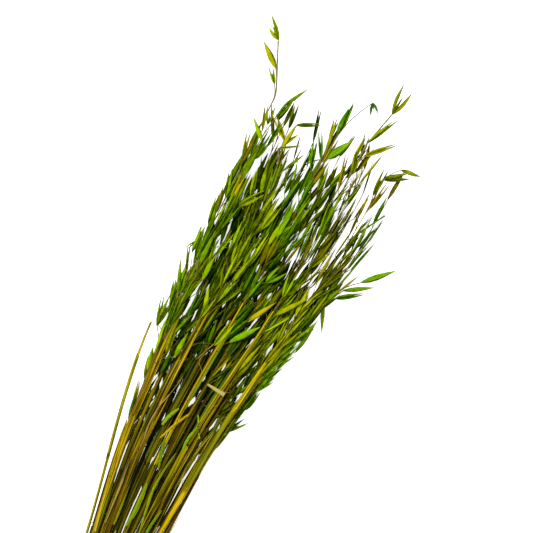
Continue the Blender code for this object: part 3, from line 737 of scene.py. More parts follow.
def outwardWay(point, isHead):  # which way is straight out of the bundle
    middle, halfWidth, halfHeight = bundleSection(point.x, isHead)
    across = (point.y - middle.y) / halfWidth ** 2
    up = (point.z - middle.z) / halfHeight ** 2
    return Vector((0, across, up)).normalized()


def outwardValues(points, isHead):
    return {
        "out": [outwardWay(point, isHead) for point in points],
        "free": [ramp(*depth["free"], howFarOut(point, isHead)) for point in points],
    }


# Node trees

class Wire:  # a node's socket that takes part in Python maths
    def __init__(self, tree, socket):
        self.tree = tree
        self.socket = socket

    def of(self, name):  # another output of the same node
        return Wire(self.tree, self.socket.node.outputs[name])

    def maths(self, operation, *values):
        return self.tree.node("ShaderNodeMath", {"operation": operation}, dict(enumerate(values)))

    def __add__(self, other):
        return self.maths("ADD", self, other)

    __radd__ = __add__

    def __sub__(self, other):
        return self.maths("SUBTRACT", self, other)

    def __rsub__(self, other):
        return self.maths("SUBTRACT", other, self)

    def __mul__(self, other):
        return self.maths("MULTIPLY", self, other)

    __rmul__ = __mul__

    def __pow__(self, other):
        return self.maths("POWER", self, other)

    def cosine(self):
        return self.maths("COSINE", self)

    def size(self):
        return self.maths("ABSOLUTE", self)

    def between(self, low, high):  # 0 below low, 1 above high
        inputs = {"Value": self, "From Min": low, "From Max": high}
        return self.tree.node("ShaderNodeMapRange", {"interpolation_type": "SMOOTHSTEP"}, inputs)


def setStops(colourRamp, stops):
    while len(colourRamp.elements) < len(stops):
        colourRamp.elements.new(1.0)
    for element, (place, colour) in zip(colourRamp.elements, stops):
        element.position = place
        element.color = (*colour, 1.0)


class NodeTree:  # adds nodes to a shader tree or a geometry tree
    def __init__(self, tree):
        self.tree = tree

    def node(self, kind, settings=None, inputs=None, out=0):
        made = self.tree.nodes.new(kind)
        for key, value in (settings or {}).items():
            if key == "stops":
                setStops(made.color_ramp, value)
            else:
                setattr(made, key, value)
        for key, value in (inputs or {}).items():
            if isinstance(value, Wire):
                self.tree.links.new(value.socket, made.inputs[key])
            else:
                made.inputs[key].default_value = value
        return Wire(self, made.outputs[out]) if len(made.outputs) else made

    def ramped(self, value, places, colours):
        stops = tuple(zip(places, colours))
        return self.node("ShaderNodeValToRGB", {"stops": stops}, {"Fac": value})

    def blend(self, factor, first, second, way="MIX"):  # mixes two colours
        settings = {"data_type": "RGBA", "blend_type": way, "clamp_factor": True}
        inputs = {"Factor": factor}
        for number, colour in ((6, first), (7, second)):  # the node's own numbers for two colours
            inputs[number] = colour if isinstance(colour, Wire) else (*colour, 1.0)
        return self.node("ShaderNodeMix", settings, inputs, out=2)

    def attribute(self, name, out="Fac"):  # a shader's reading of the piece's own attribute
        return self.node("ShaderNodeAttribute", {"attribute_name": name}, out=out)

    def noise(self, place, scale, detail):
        return self.node("ShaderNodeTexNoise", None, {"Vector": place, "Scale": scale, "Detail": detail})

    def objectPlace(self):
        return self.node("ShaderNodeTexCoord", out="Object")

    def split(self, vector):  # its first number, and the others by of("Y") and of("Z")
        return self.node("ShaderNodeSeparateXYZ", None, {"Vector": vector}, out="X")

    def vector(self, x, y, z):
        return self.node("ShaderNodeCombineXYZ", None, {0: x, 1: y, 2: z})

    def shaded(self, colour, amount):  # darker or lighter by an amount
        grey = self.vector(amount, amount, amount)
        return self.blend(1.0, colour, grey, "MULTIPLY")

    def named(self, kind, name):  # a geometry tree's reading of one
        return self.node("GeometryNodeInputNamedAttribute", {"data_type": kind}, {"Name": name})

    def store(self, kind, name, geometry, value):
        inputs = {"Geometry": geometry, "Name": name, "Value": value}
        return self.node("GeometryNodeStoreNamedAttribute", {"data_type": kind}, inputs)

    def paint(self, geometry, material):
        inputs = {"Geometry": geometry, "Material": material}
        return self.node("GeometryNodeSetMaterial", None, inputs)


def newMaterial(name):
    material = bpy.data.materials.new(name)
    material.use_nodes = True
    material.node_tree.nodes.clear()
    return material, NodeTree(material.node_tree)


bumpStrength = 0.6


def finishMaterial(tree, colour, roughness, bump, bumpDistance, specular=0.5, sheen=0.0):
    normal = tree.node("ShaderNodeBump", None, {
        "Height": bump,
        "Distance": bumpDistance,
        "Strength": bumpStrength,
    })
    shader = tree.node("ShaderNodeBsdfPrincipled", None, {
        "Base Color": colour,
        "Roughness": roughness,
        "Normal": normal,
        "Specular IOR Level": specular,
        "Sheen Weight": sheen,
    })
    tree.node("ShaderNodeOutputMaterial", None, {"Surface": shader})


def outerShade(tree, look):  # painted shade: darker on sides that face into the bundle, and by the piece's own value
    outer = tree.attribute("facing").between(*look["facing"]) * look["facingGain"] + look["facingLeast"]
    return tree.attribute("bright") * outer


# Deep, middle and light colours of each kind of husk
huskLooks = {
    "oat_green": ((0.006, 0.024, 0.0004), (0.095, 0.208, 0.0006), (0.285, 0.425, 0.0015)),
    "oat_fresh": ((0.005, 0.024, 0.0006), (0.068, 0.192, 0.0010), (0.215, 0.405, 0.0025)),
    "oat_yellow": ((0.012, 0.030, 0.0004), (0.135, 0.225, 0.0006), (0.350, 0.430, 0.0015)),
    "oat_gold": ((0.018, 0.027, 0.0004), (0.155, 0.195, 0.0006), (0.380, 0.395, 0.0015)),
}
husk = {
    "middle": 0.45,  # where the middle colour stands between deep at 0 and light at 1
    "tip": (0.36, 0.33, 0.035),
    "tips": (0.82, 1.02),  # along a husk
    "tipShare": 0.7,
    "inside": (0.06, 0.09, 0.003),
    "insideShade": 0.6,
    "gold": (0.330, 0.240, 0.0010),
    "goldAt": (0.05, 0.9),  # between these hues
    "goldAge": (-0.1, 1.1),
    "goldLeast": 0.35,
    "goldShare": 0.85,
    "blue": (0.040, 0.110, 0.020),
    "blueAt": (0.1, 0.9),
    "blueShare": 0.6,
    "mottle": 210.0,
    "grain": 1400.0,
    "veins": 5,
    "edge": (0.66, 1.0),
    "mottleAge": 1.1,  # how much mottle, length, veins and edges make a husk lighter or deeper; the darker edges are painted shade where husks meet
    "lengthAge": 0.30,
    "veinAge": 0.45,
    "edgeShade": 1.05,
    "mottleHue": 0.8,
    "mottleTip": 0.25,
    "roughness": 0.55,
    "roughSpread": 0.25,
    "veinHeight": 0.8,
    "grainHeight": 0.4,
    "bump": 0.00025,
    "specular": 0.0,
    # painted shade on sides that face into the bundle
    "facing": (-0.6, 0.9),
    "facingLeast": 0.46,
    "facingGain": 0.80,
}


def makeHusk(name, look):
    material, tree = newMaterial(name)
    across = tree.split(tree.attribute("place", "Vector"))
    along, inside = across.of("Y"), across.of("Z")
    hue = tree.attribute("hue")
    where = tree.objectPlace()
    mottle = tree.noise(where, husk["mottle"], 3.0) - 0.5
    grain = tree.noise(where, husk["grain"], 2.0)
    vein = ((across * (husk["veins"] * math.pi)).cosine() * 0.5 + 0.5) ** 2.0
    # painted shade: husks darker towards their edges, where they meet
    edge = across.size().between(*husk["edge"])
    age = tree.attribute("tint") + mottle * husk["mottleAge"] + (along - 0.45) * husk["lengthAge"]
    age = age + vein * husk["veinAge"] - edge * husk["edgeShade"]
    body = tree.ramped(age, (0.0, husk["middle"], 1.0), look)
    gold = tree.shaded(husk["gold"], age.between(*husk["goldAge"]) + husk["goldLeast"])
    golden = (hue + mottle * husk["mottleHue"]).between(*husk["goldAt"]) * husk["goldShare"]
    gilded = tree.blend(golden, body, gold)
    cooled = tree.blend((hue * -1.0).between(*husk["blueAt"]) * husk["blueShare"], gilded, husk["blue"])
    # painted shade: the hollow inside each husk and its seed are darker
    shadedInside = tree.blend(inside * husk["insideShade"], cooled, husk["inside"])
    atTip = (along + mottle * husk["mottleTip"]).between(*husk["tips"]) * husk["tipShare"]
    tipped = tree.blend(atTip, shadedInside, husk["tip"])
    finished = tree.shaded(tipped, outerShade(tree, husk))
    rough = husk["roughness"] + (grain - 0.5) * husk["roughSpread"]
    height = vein * husk["veinHeight"] + grain * husk["grainHeight"]
    finishMaterial(tree, finished, rough, height, husk["bump"], husk["specular"])
    return material


# Dark, middle and light colours of each kind of straw
strawLooks = {
    "straw_gold": ((0.020, 0.010, 0.0003), (0.245, 0.155, 0.0008), (0.490, 0.342, 0.0015)),
    "straw_olive": ((0.008, 0.006, 0.0003), (0.135, 0.104, 0.0006), (0.425, 0.325, 0.0015)),
    "straw_brown": ((0.009, 0.004, 0.0003), (0.125, 0.066, 0.0008), (0.450, 0.300, 0.0030)),
}
straw = {
    "middle": 0.48,
    "ownSeed": 37.0,  # straws of different tints have different streaks
    "streaks": 1.2,
    "streakLength": 9.0,
    "fine": 3.0,
    "fineLength": 30.0,
    "age": 0.46,  # half way from dark to light, and how much each makes it lighter or darker
    "streakAge": 3.1,
    "fineAge": 3.0,
    "broadAge": 1.2,
    "tintAge": 0.5,
    "roughness": 0.5,
    "roughSpread": 0.3,
    "streakHeight": 0.5,
    "fineHeight": 0.8,
    "bump": 0.0003,
    "specular": 0.03,
    # painted shade on sides that face into the bundle
    "facing": (-0.4, 0.95),
    "facingLeast": 0.26,
    "facingGain": 1.08,
    "green": (0.025, 0.060, 0.0008),
    "freshGreen": (0.130, 0.230, 0.0015),
    "freshAt": (0.3, 0.7),
    "greenAt": (0.58, 0.80),
    "greenShare": 0.25,
    "tintGreen": 0.2,
    "pale": (0.360, 0.300, 0.095),
    "paleShare": 0.6,
    "ringShare": 0.7,
    "spot": (0.012, 0.006, 0.001),
    "spots": 420.0,
    "spotAt": (0.70, 0.76),
    "spotShare": 0.8,
}


def makeStraw(name, look):  # lengthways streaks that follow each straw
    material, tree = newMaterial(name)
    x = tree.split(tree.attribute("ringPlace", "Vector"))
    y = x.of("Y")
    along = tree.attribute("along")
    tint = tree.attribute("tint")
    seed = tint * straw["ownSeed"]
    coarse, thin = straw["streaks"], straw["fine"]
    drawnOut = along * straw["streakLength"]
    streak = tree.noise(tree.vector(x * coarse + seed, y * coarse, drawnOut), 1.0, 4.0)
    fine = tree.noise(tree.vector(x * thin + seed, y * thin, along * straw["fineLength"]), 1.0, 2.0)
    broad = tree.noise(tree.vector(seed, x, drawnOut), 1.0, 2.0)
    age = straw["age"] + (streak - 0.5) * straw["streakAge"] + (fine - 0.5) * straw["fineAge"]
    age = age + (broad - 0.5) * straw["broadAge"] + (tint - 0.5) * straw["tintAge"]
    body = tree.ramped(age, (0.0, straw["middle"], 1.0), look)
    leaf = tree.blend(streak.between(*straw["freshAt"]), straw["green"], straw["freshGreen"])
    greenness = (broad + tint * straw["tintGreen"]).between(*straw["greenAt"]) * straw["greenShare"]
    greened = tree.blend(greenness + tree.attribute("green"), body, leaf)
    spots = tree.noise(tree.objectPlace(), straw["spots"], 1.0)
    spotted = tree.blend(spots.between(*straw["spotAt"]) * straw["spotShare"], greened, straw["spot"])
    ringed = tree.blend(tree.attribute("ring") * straw["ringShare"], spotted, look[0])
    paleness = tree.attribute("pale") * (straw["paleShare"] + streak * straw["paleShare"])
    paled = tree.blend(paleness, ringed, straw["pale"])
    finished = tree.shaded(paled, outerShade(tree, straw))
    rough = straw["roughness"] + (streak - 0.5) * straw["roughSpread"]
    height = streak * straw["streakHeight"] + fine * straw["fineHeight"]
    finishMaterial(tree, finished, rough, height, straw["bump"], straw["specular"])
    return material


twine = {
    "seed": 9,
    "radius": 0.00078,
    "turns": 7,
    "turnSteps": 74,
    "firstTurn": 0.27,  # where round the straws it begins
    "corner": 0.30,  # the share of each side that is its round corner
    "profileSteps": 15,
    "lobes": 3,
    "lobeDepth": 0.17,
    "twist": 0.0058,  # length of one full twist
    "knotSize": 0.00118,
    "knotShape": (1.1, 0.9, 0.75),  # along the straws, across them and up
    "knotRise": 0.0016,
    "knotSteps": 48,
    "looseEnd": ((0, 0, 1.4), (5, 4, 2.2), (12, 7, 2.4), (19, 8, 1.0)),  # in mm from the knot's foot
    "looseSteps": 22,
    "hairSides": 3,
    "hairEvery": 9,
    "hairLength": (0.0015, 0.0035),
    "hairThick": (0.00007, 0.00006, 0.00004),
    "hairBend": 0.0006,
    "hairMarks": (0.5, 0.6),  # its root in radii of the cord, its middle along it
    "hairUp": (-0.3, 1),
    "light": (0.46, 0.34, 0.185),
    "dark": (0.175, 0.105, 0.045),
    "fibres": 7.0,
    "fibreLength": 260.0,
    "patches": 160.0,
    "strandTop": 0.6,  # then how much strands, fibres and patches make it lighter; lighter strand crests over darker grooves are painted shade
    "grooveShadeAmount": 0.5,
    "fibreLight": 0.7,
    "patchLight": 0.4,
    "roughness": 0.85,
    "bump": 0.0003,
    "specular": 0.2,
    "sheen": 0.25,
}
twineParts = {"cord": 0, "hair": 1}
twineValues = {"part": "INT", "thick": "FLOAT", "tilt": "FLOAT"}  # the kind of each value


def makeTwineFinish():
    material, tree = newMaterial("twine")
    ringPlace = tree.attribute("ringPlace", "Vector")
    x = tree.split(ringPlace)
    around = twine["fibres"]
    along = tree.attribute("along") * twine["fibreLength"]
    fibre = tree.noise(tree.vector(x * around, x.of("Y") * around, along), 1.0, 4.0)
    patch = tree.noise(tree.objectPlace(), twine["patches"], 2.0)
    size = tree.node("ShaderNodeVectorMath", {"operation": "LENGTH"}, {0: ringPlace}, out="Value")
    lobe = twine["lobeDepth"]
    # painted shade: darker in the grooves between the strands, lighter on their crests
    paintedGrooveShade = size.between(1 - lobe, 1.0 + lobe * twine["strandTop"]) * twine["grooveShadeAmount"]
    amount = paintedGrooveShade + (fibre - 0.3) * twine["fibreLight"] + (patch - 0.5) * twine["patchLight"]
    colour = tree.blend(amount, twine["dark"], twine["light"])
    finishMaterial(
        tree, colour, twine["roughness"], fibre, twine["bump"], twine["specular"], twine["sheen"])
    return material


# Thin pieces: each finish has a dark and a light colour, and twigs are dry where "pale" is 1
thin = {
    "twig": {
        "colours": ((0.050, 0.050, 0.001), (0.220, 0.180, 0.003)),
        "dry": ((0.130, 0.105, 0.035), (0.280, 0.235, 0.105)),
        "roughness": 0.5,
    },
    "thread": {
        "colours": ((0.200, 0.115, 0.014), (0.460, 0.300, 0.065)),
        "dry": None,
        "roughness": 0.6,
    },
    "patches": 300.0,
    "grain": 1600.0,
    "patchShare": 0.7,
    "lightAt": (0.36, 0.64),
    "roughSpread": 0.2,
    "bump": 0.0002,
    "specular": 0.25,
}


def makeThin(name):
    look = thin[name]
    material, tree = newMaterial(name)
    where = tree.objectPlace()
    patch = tree.noise(where, thin["patches"], 3.0)
    grain = tree.noise(where, thin["grain"], 2.0)
    mixed = patch * thin["patchShare"] + grain * (1 - thin["patchShare"])
    amount = mixed.between(*thin["lightAt"])
    colour = tree.blend(amount, *look["colours"])
    if look["dry"]:
        colour = tree.blend(tree.attribute("pale"), colour, tree.blend(amount, *look["dry"]))
    rough = look["roughness"] + (grain - 0.5) * thin["roughSpread"]
    finishMaterial(tree, colour, rough, grain, thin["bump"], thin["specular"])
    return material


# Geometry helpers

def newObject(name, data, collection=None):
    thing = bpy.data.objects.new(name, data)
    (collection or bpy.context.scene.collection).objects.link(thing)
    return thing


def pointMesh(name, points, edges, attributes):  # loose points and paths, with values on each point
    mesh = bpy.data.meshes.new(name)
    mesh.from_pydata([tuple(point) for point in points], edges, [])
    for key, (kind, values) in attributes.items():
        field = "vector" if kind == "FLOAT_VECTOR" else "value"
        flat = np.array([tuple(v) if kind == "FLOAT_VECTOR" else v for v in values]).ravel()
        mesh.attributes.new(key, kind, "POINT").data.foreach_set(field, flat)
    return newObject(name, mesh)


def addSocket(tree, name, kind, default=None, way="INPUT"):
    socket = tree.interface.new_socket(name=name, in_out=way, socket_type=kind)
    if default is not None:
        socket.default_value = default


def newGeometryTree(name, sockets):
    group = bpy.data.node_groups.new(name, "GeometryNodeTree")
    addSocket(group, "Geometry", "NodeSocketGeometry")
    for key, (kind, default) in sockets.items():
        addSocket(group, key, kind, default)
    addSocket(group, "Geometry", "NodeSocketGeometry", way="OUTPUT")
    tree = NodeTree(group)
    given = tree.node("NodeGroupInput")
    return group, tree, given


def closeTree(tree, branches):  # every branch has its material by now
    smooth = tree.node("GeometryNodeSetShadeSmooth", None, {"Geometry": joinAll(tree, branches)})
    whole = tree.node("GeometryNodeRealizeInstances", None, {"Geometry": smooth})
    tree.node("NodeGroupOutput", None, {"Geometry": whole})


def joinAll(tree, branches):
    joined = tree.tree.nodes.new("GeometryNodeJoinGeometry")
    for branch in branches:
        tree.tree.links.new(branch.socket, joined.inputs[0])
    return Wire(tree, joined.outputs[0])


def applyTree(thing, group, values):  # runs a geometry tree and keeps its result as a plain mesh
    modifier = thing.modifiers.new(group.name, "NODES")
    modifier.node_group = group
    for item in group.interface.items_tree:
        if item.item_type == "SOCKET" and item.in_out == "INPUT" and item.name in values:
            modifier[item.identifier] = values[item.name]
    bpy.context.view_layer.update()
    evaluated = thing.evaluated_get(bpy.context.evaluated_depsgraph_get())
    mesh = bpy.data.meshes.new_from_object(evaluated)
    thing.modifiers.clear()
    thing.data = mesh
    mesh.name = thing.name
    return thing


def markFacing(tree, geometry):  # 1 where a surface faces out of the bundle, -1 where it faces in, for the painted shade on inward sides
    inputs = {0: tree.node("GeometryNodeInputNormal"), 1: tree.named("FLOAT_VECTOR", "out")}
    facing = tree.node("ShaderNodeVectorMath", {"operation": "DOT_PRODUCT"}, inputs, out="Value")
    facing += tree.named("FLOAT", "free") * depth["freeGain"]
    return tree.store("FLOAT", "facing", geometry, facing)


def sweep(tree, path, profile, material):  # one kind of path, given a body
    inputs = {"Curve": path, "Tilt": tree.named("FLOAT", "tilt")}
    tilted = tree.node("GeometryNodeSetCurveTilt", None, inputs)
    length = tree.node("GeometryNodeSplineParameter", out="Length")
    place = tree.node("GeometryNodeInputPosition")
    body = tree.node("GeometryNodeCurveToMesh", None, {
        "Curve": tree.store("FLOAT", "along", tilted, length),
        "Profile Curve": tree.store("FLOAT_VECTOR", "ringPlace", profile, place),
        "Scale": tree.named("FLOAT", "thick"),
        "Fill Caps": True,
    })
    return tree.paint(markFacing(tree, body), material)


def pathsOf(tree, geometry, kind):  # the paths whose "part" value is this kind
    settings = {"data_type": "INT", "operation": "EQUAL"}
    isKind = tree.node("FunctionNodeCompare", settings, {"A": tree.named("INT", "part"), "B": kind})
    return tree.node("GeometryNodeMeshToCurve", None, {"Mesh": geometry, "Selection": isKind})


def circle(tree, sides):
    return tree.node("GeometryNodeCurvePrimitiveCircle", None, {"Resolution": sides, "Radius": 1.0})


def outline(tree, thing):  # a profile drawn by an object's loop of edges
    drawn = tree.node("GeometryNodeObjectInfo", None, {"Object": thing}, out="Geometry")
    return tree.node("GeometryNodeMeshToCurve", None, {"Mesh": drawn})


class Paths:  # collects points, paths and their values for one piece
    def __init__(self):
        self.points = []
        self.edges = []
        self.values = {}

    def add(self, points, **values):
        first = len(self.points)
        count = len(points)
        self.points += points
        self.edges += [(first + i, first + i + 1) for i in range(count - 1)]
        for key in set(self.values) | set(values):
            column = self.values.setdefault(key, [None] * first)
            given = values.get(key)
            column += list(given) if isinstance(given, (list, tuple)) else [given] * count

    def build(self, name, kinds):
        attributes = {}
        for key, kind in kinds.items():
            column = self.values.get(key, [None] * len(self.points))
            attributes[key] = (kind, [blanks[kind] if value is None else value for value in column])
        return pointMesh(name, [tiePlace + point for point in self.points], self.edges, attributes)


blanks = {"FLOAT": 0.0, "INT": 0, "BOOLEAN": False, "FLOAT_VECTOR": Vector((0, 0, 0))}


def handOver(thing, node, crease=None):  # the piece takes its node's place
    if crease:
        thing.data.set_sharp_from_angle(angle=math.radians(crease))
    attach(thing, "root")
    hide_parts(node)


# Spikelet shapes: two ribbed boat-shaped husks round a slim seed, one unit long along X

shapes = {
    "kinds": (  # how wide the tips part, from where, whether the husks lie one over the other
        {"opening": 0.035, "from": 0.55, "over": False, "second": 0.95, "bend": 0.030},
        {"opening": 0.085, "from": 0.42, "over": False, "second": 0.90, "bend": -0.020},
        {"opening": 0.150, "from": 0.32, "over": False, "second": 0.97, "bend": 0.015},
        {"opening": 0.220, "from": 0.24, "over": False, "second": 0.90, "bend": -0.025},
        {"opening": 0.270, "from": 0.04, "over": False, "second": 0.86, "bend": 0.020},
        {"opening": 0.200, "from": 0.06, "over": False, "second": 0.58, "bend": 0.010},
        {"opening": 0.030, "from": 0.40, "over": True, "second": 0.93, "bend": 0.025},
        {"opening": 0.060, "from": 0.50, "over": True, "second": 1.06, "bend": -0.030},
    ),
    "overShare": 0.35,
    "overMost": 0.2,  # only narrow spikelets with husks of like lengths lie so
    "overSecond": 0.8,
    "overSlide": 0.3,
    "openingWeight": 2,  # a like opening counts more than like lengths
    "steps": (0.0, 0.08, 0.24, 0.46, 0.68, 0.86, 1.0),
    "across": 6,
    "halfWidth": 0.088,
    "halfDepth": 0.062,
    "neck": 0.014,
    "ribs": 0.06,
    "wrap": 86,  # degrees that each husk reaches round to either side
    "hollow": 0.45,
    "huskGap": 0.003,
    "partingEase": 1.3,
    "widthEase": 0.72,
    "widthPower": (0.85, 1.12),
    "seedSides": 4,
    "seedRings": ((0.08, 0.5), (0.45, 1.0), (0.78, 0.6)),  # places along it and its size there
    "seedLength": 0.62,
    "seedRadius": 0.028,
    "seedTall": 1.5,
    "seedInside": 0.6,
    "seedFoot": 0.01,
    "seedBend": 0.7,
    "leafSides": 10,
    "leafRings": (  # place, size and whether it lies inside the rolled leaf
        (0.0, 0.25, 0.0),
        (0.12, 0.75, 0.0),
        (0.45, 1.0, 0.0),
        (1.0, 0.92, 0.0),
        (1.0, 0.70, 1.0),
        (0.86, 0.62, 1.0),
    ),
    "leafFlat": 0.8,
}


def huskWidth(share):  # 0 at the ends, 1 at the widest place, drawn out towards the tip
    if not 0 < share < 1:
        return 0.0
    return math.sin(math.pi * share ** shapes["widthEase"]) ** mix(*shapes["widthPower"], share)


def huskRing(step, side, kind):  # one ring's points and their places on the husk
    fatness = huskWidth(step)
    halfWidth = max(shapes["halfWidth"] * fatness, shapes["neck"])
    halfDepth = max(shapes["halfDepth"] * fatness, shapes["neck"])
    parted = max(step - kind["from"], 0.0) / (1 - kind["from"])
    middle = side * (shapes["huskGap"] + kind["opening"] / 2 * parted ** shapes["partingEase"])
    ring, places = [], []
    for column in range(shapes["across"] + 1):
        share = column / shapes["across"]
        turn = math.radians(mix(-shapes["wrap"], shapes["wrap"], share))
        swell = 1 + shapes["ribs"] * (1 if column % 2 else -1) * (0 < step)
        out = middle + side * halfWidth * math.cos(turn) * swell
        ring.append((out, halfDepth * math.sin(turn) * swell))
        places.append((share * 2 - 1, step, 0.0))
    ring.append((middle + side * halfWidth * shapes["hollow"], 0.0))
    places.append((0.0, step, 1.0))
    return ring, places


def addHusk(points, faces, places, side, kind, length):
    steps = shapes["steps"]
    turnOver = shapes["halfWidth"] / shapes["halfDepth"]
    first = len(points)

    def put(step, out, up):  # a point of the husk, laid sideways or one over the other
        if kind["over"]:
            out, up = up * turnOver + shapes["overSlide"] * out, out / turnOver
        points.append((step * length, out, up + kind["bend"] * step * step))

    for step in steps[:-1]:
        ring, ringPlaces = huskRing(step, side, kind)
        for out, up in ring:
            put(step, out, up)
        places += ringPlaces
    tip = len(points)
    put(1.0, side * (shapes["huskGap"] + kind["opening"] / 2), 0.0)
    places.append((0.0, 1.0, 0.0))
    ringSize = shapes["across"] + 2
    loop = list(range(ringSize))
    last = first + (len(steps) - 2) * ringSize
    for low in range(first, last, ringSize):
        high = low + ringSize
        for here, after in zip(loop, loop[1:] + loop[:1]):
            faces.append((low + here, high + here, high + after, low + after))
    for here, after in zip(loop, loop[1:] + loop[:1]):
        faces.append((last + here, tip, last + after))
    faces.append(tuple(first + here for here in loop))


def ringFaces(first, rings, sides):  # the faces between rings of points
    found = []
    for low in range(first, first + (rings - 1) * sides, sides):
        for corner in range(sides):
            after = (corner + 1) % sides
            found.append((low + corner, low + after, low + sides + after, low + sides + corner))
    return found


def addSeed(points, faces, places, bend):
    first = len(points)
    length, sides = shapes["seedLength"], shapes["seedSides"]
    for step, fatness in shapes["seedRings"]:
        for corner in range(sides):
            turn = math.tau * corner / sides
            radius = shapes["seedRadius"] * fatness
            up = radius * shapes["seedTall"] * math.sin(turn) + bend * step * step
            points.append((step * length, radius * math.cos(turn), up))
            places.append((corner / 2 - 1, step, shapes["seedInside"]))
    rings = len(shapes["seedRings"])
    foot, tip = len(points), len(points) + 1
    points += [(shapes["seedFoot"], 0.0, 0.0), (length, 0.0, bend * shapes["seedBend"])]
    places += [(0.0, 0.0, shapes["seedInside"]), (0.0, 1.0, shapes["seedInside"])]
    faces += ringFaces(first, rings, sides)
    last = first + sides * (rings - 1)
    for corner in range(sides):
        after = (corner + 1) % sides
        faces.append((foot, first + after, first + corner))
        faces.append((last + corner, last + after, tip))


def addRolledLeaf(points, faces, places):  # a cut leaf, rolled up, with a blunt hollow end
    sides = shapes["leafSides"]
    for step, size, inside in shapes["leafRings"]:
        for corner in range(sides):
            turn = math.tau * corner / sides
            out = shapes["halfWidth"] * size
            points.append((step, out * math.cos(turn), out * math.sin(turn) * shapes["leafFlat"]))
            places.append((corner / sides * 2 - 1, step * 0.5, inside))
    faces += ringFaces(0, len(shapes["leafRings"]), sides)
    faces.append(tuple(range(sides)))
    faces.append(tuple(range(len(points) - sides, len(points))))


def makeShapes():
    collection = bpy.data.collections.new("spikeletShapes")
    bpy.context.scene.collection.children.link(collection)
    for number, kind in enumerate((*shapes["kinds"], None)):
        points, faces, places = [], [], []
        if kind:
            addHusk(points, faces, places, 1, kind, 1.0)
            addHusk(points, faces, places, -1, kind, kind["second"])
            addSeed(points, faces, places, kind["bend"])
        else:
            addRolledLeaf(points, faces, places)
        mesh = bpy.data.meshes.new(f"spikeletShape{number}")
        mesh.from_pydata(points, [], faces)
        shape = bmesh.new()
        shape.from_mesh(mesh)
        bmesh.ops.recalc_face_normals(shape, faces=shape.faces)
        shape.to_mesh(mesh)
        shape.free()
        flat = np.array(places).ravel()
        mesh.attributes.new("place", "FLOAT_VECTOR", "POINT").data.foreach_set("vector", flat)
        newObject(mesh.name, mesh, collection)
    return collection


def removeCollection(collection):
    for thing in list(collection.objects):
        bpy.data.objects.remove(thing)
    bpy.data.collections.remove(collection)


# Heads: spikelets on hair-thin twigs round a thin stalk

heads = {
    "twigRadius": 0.00030,
    "sprayTwigRadius": 0.00046,
    "twigSides": 4,
    "twigSteps": 5,
    "twigBow": 0.45,
    "stalkShare": (0.85, 0.50, 1.0),  # of the solid stalk's size: at its start, inside and bare
    "stalkThins": 0.030,
    "basePale": 0.25,
    "bareStalk": (0.505, 0.540),  # past here a stalk shows
    "stalkStep": 0.006,
    "lookBright": 0.92,
    "lookLength": 1.08,
    "overlap": 0.02,  # the share of its length that a spikelet begins before its neck
    # How slim they are, and below how bright as painted light and shade, at some distances from the tie
    "slim": ((0.37, 0.87), (0.41, 1.00), (0.46, 0.97), (0.485, 0.87), (0.505, 0.91), (0.53, 0.82)),
    "tint": 0.43,
    "tintSpread": 0.20,
    "upperTint": 0.12,  # the upper spikelets are lighter and more golden
    "upper": (0.40, 0.56),
    "goldShare": (0.10, 0.35),
    "blueShare": 0.035,
    "hueSize": (0.3, 1.0),
    "bright": (0.60, 1.20),
    "lightAndShadeAlong": ((0.27, 1.10), (0.33, 0.98), (0.37, 0.90), (0.41, 0.73), (0.47, 0.73), (0.51, 0.84)),
    "awnShare": 0.16,
    "awnLength": (0.004, 0.010),
    "awnRadius": 0.00012,
    "awnRoot": 0.97,  # along its spikelet
    "awnShape": ((0.0, 0.0, 1.0), (0.5, 0.08, 0.9), (1.0, 0.30, 0.6)),  # along, aside and how thick
    "awnPale": 0.7,
    "crease": 55,
    "cutLeaf": (3, 0),  # the head whose last spikelet is a rolled leaf instead
    "cutLeafStart": (454, -63),
    "cutLeafLook": (-0.9, 0.9),  # hue and brightness
}
# The kind of each value that a head's points carry
headValues = {
    "isSpikelet": "BOOLEAN",
    "shape": "INT",
    **dict.fromkeys(("aim", "side", "size", "out"), "FLOAT_VECTOR"),
    **dict.fromkeys(("tint", "hue", "bright", "thick", "pale", "free"), "FLOAT"),
}


def makeHeadTree():
    group, tree, given = newGeometryTree("oatHead", {
        "Spikelet shapes": ("NodeSocketCollection", None),
        "Twig sides": ("NodeSocketInt", heads["twigSides"]),
        "Husk": ("NodeSocketMaterial", None),
        "Twig": ("NodeSocketMaterial", None),
    })
    choices = tree.node("GeometryNodeCollectionInfo", None, {
        "Collection": given.of("Spikelet shapes"),
        "Separate Children": True,
        "Reset Children": True,
    })
    turn = tree.node("FunctionNodeAxesToRotation", {"primary_axis": "X", "secondary_axis": "Y"}, {
        "Primary Axis": tree.named("FLOAT_VECTOR", "aim"),
        "Secondary Axis": tree.named("FLOAT_VECTOR", "side"),
    })
    placed = tree.node("GeometryNodeInstanceOnPoints", None, {
        "Points": given.of("Geometry"),
        "Selection": tree.named("BOOLEAN", "isSpikelet"),
        "Instance": choices,
        "Pick Instance": True,
        "Instance Index": tree.named("INT", "shape"),
        "Rotation": turn,
        "Scale": tree.named("FLOAT_VECTOR", "size"),
    })
    spikelets = tree.node("GeometryNodeRealizeInstances", None, {"Geometry": placed})
    dressed = tree.paint(markFacing(tree, spikelets), given.of("Husk"))
    lines = tree.node("GeometryNodeMeshToCurve", None, {"Mesh": given.of("Geometry")})
    twigs = sweep(tree, lines, circle(tree, given.of("Twig sides")), given.of("Twig"))
    closeTree(tree, [dressed, twigs])
    return group


def twigPath(start, end, way):  # a twig leaves along the stalk and bends to its spikelet
    bow = start + way * (end - start).length * heads["twigBow"]
    path = []
    for index in range(heads["twigSteps"] + 1):
        share = index / heads["twigSteps"]
        path.append(start.lerp(bow, share).lerp(bow.lerp(end, share), share))
    return path


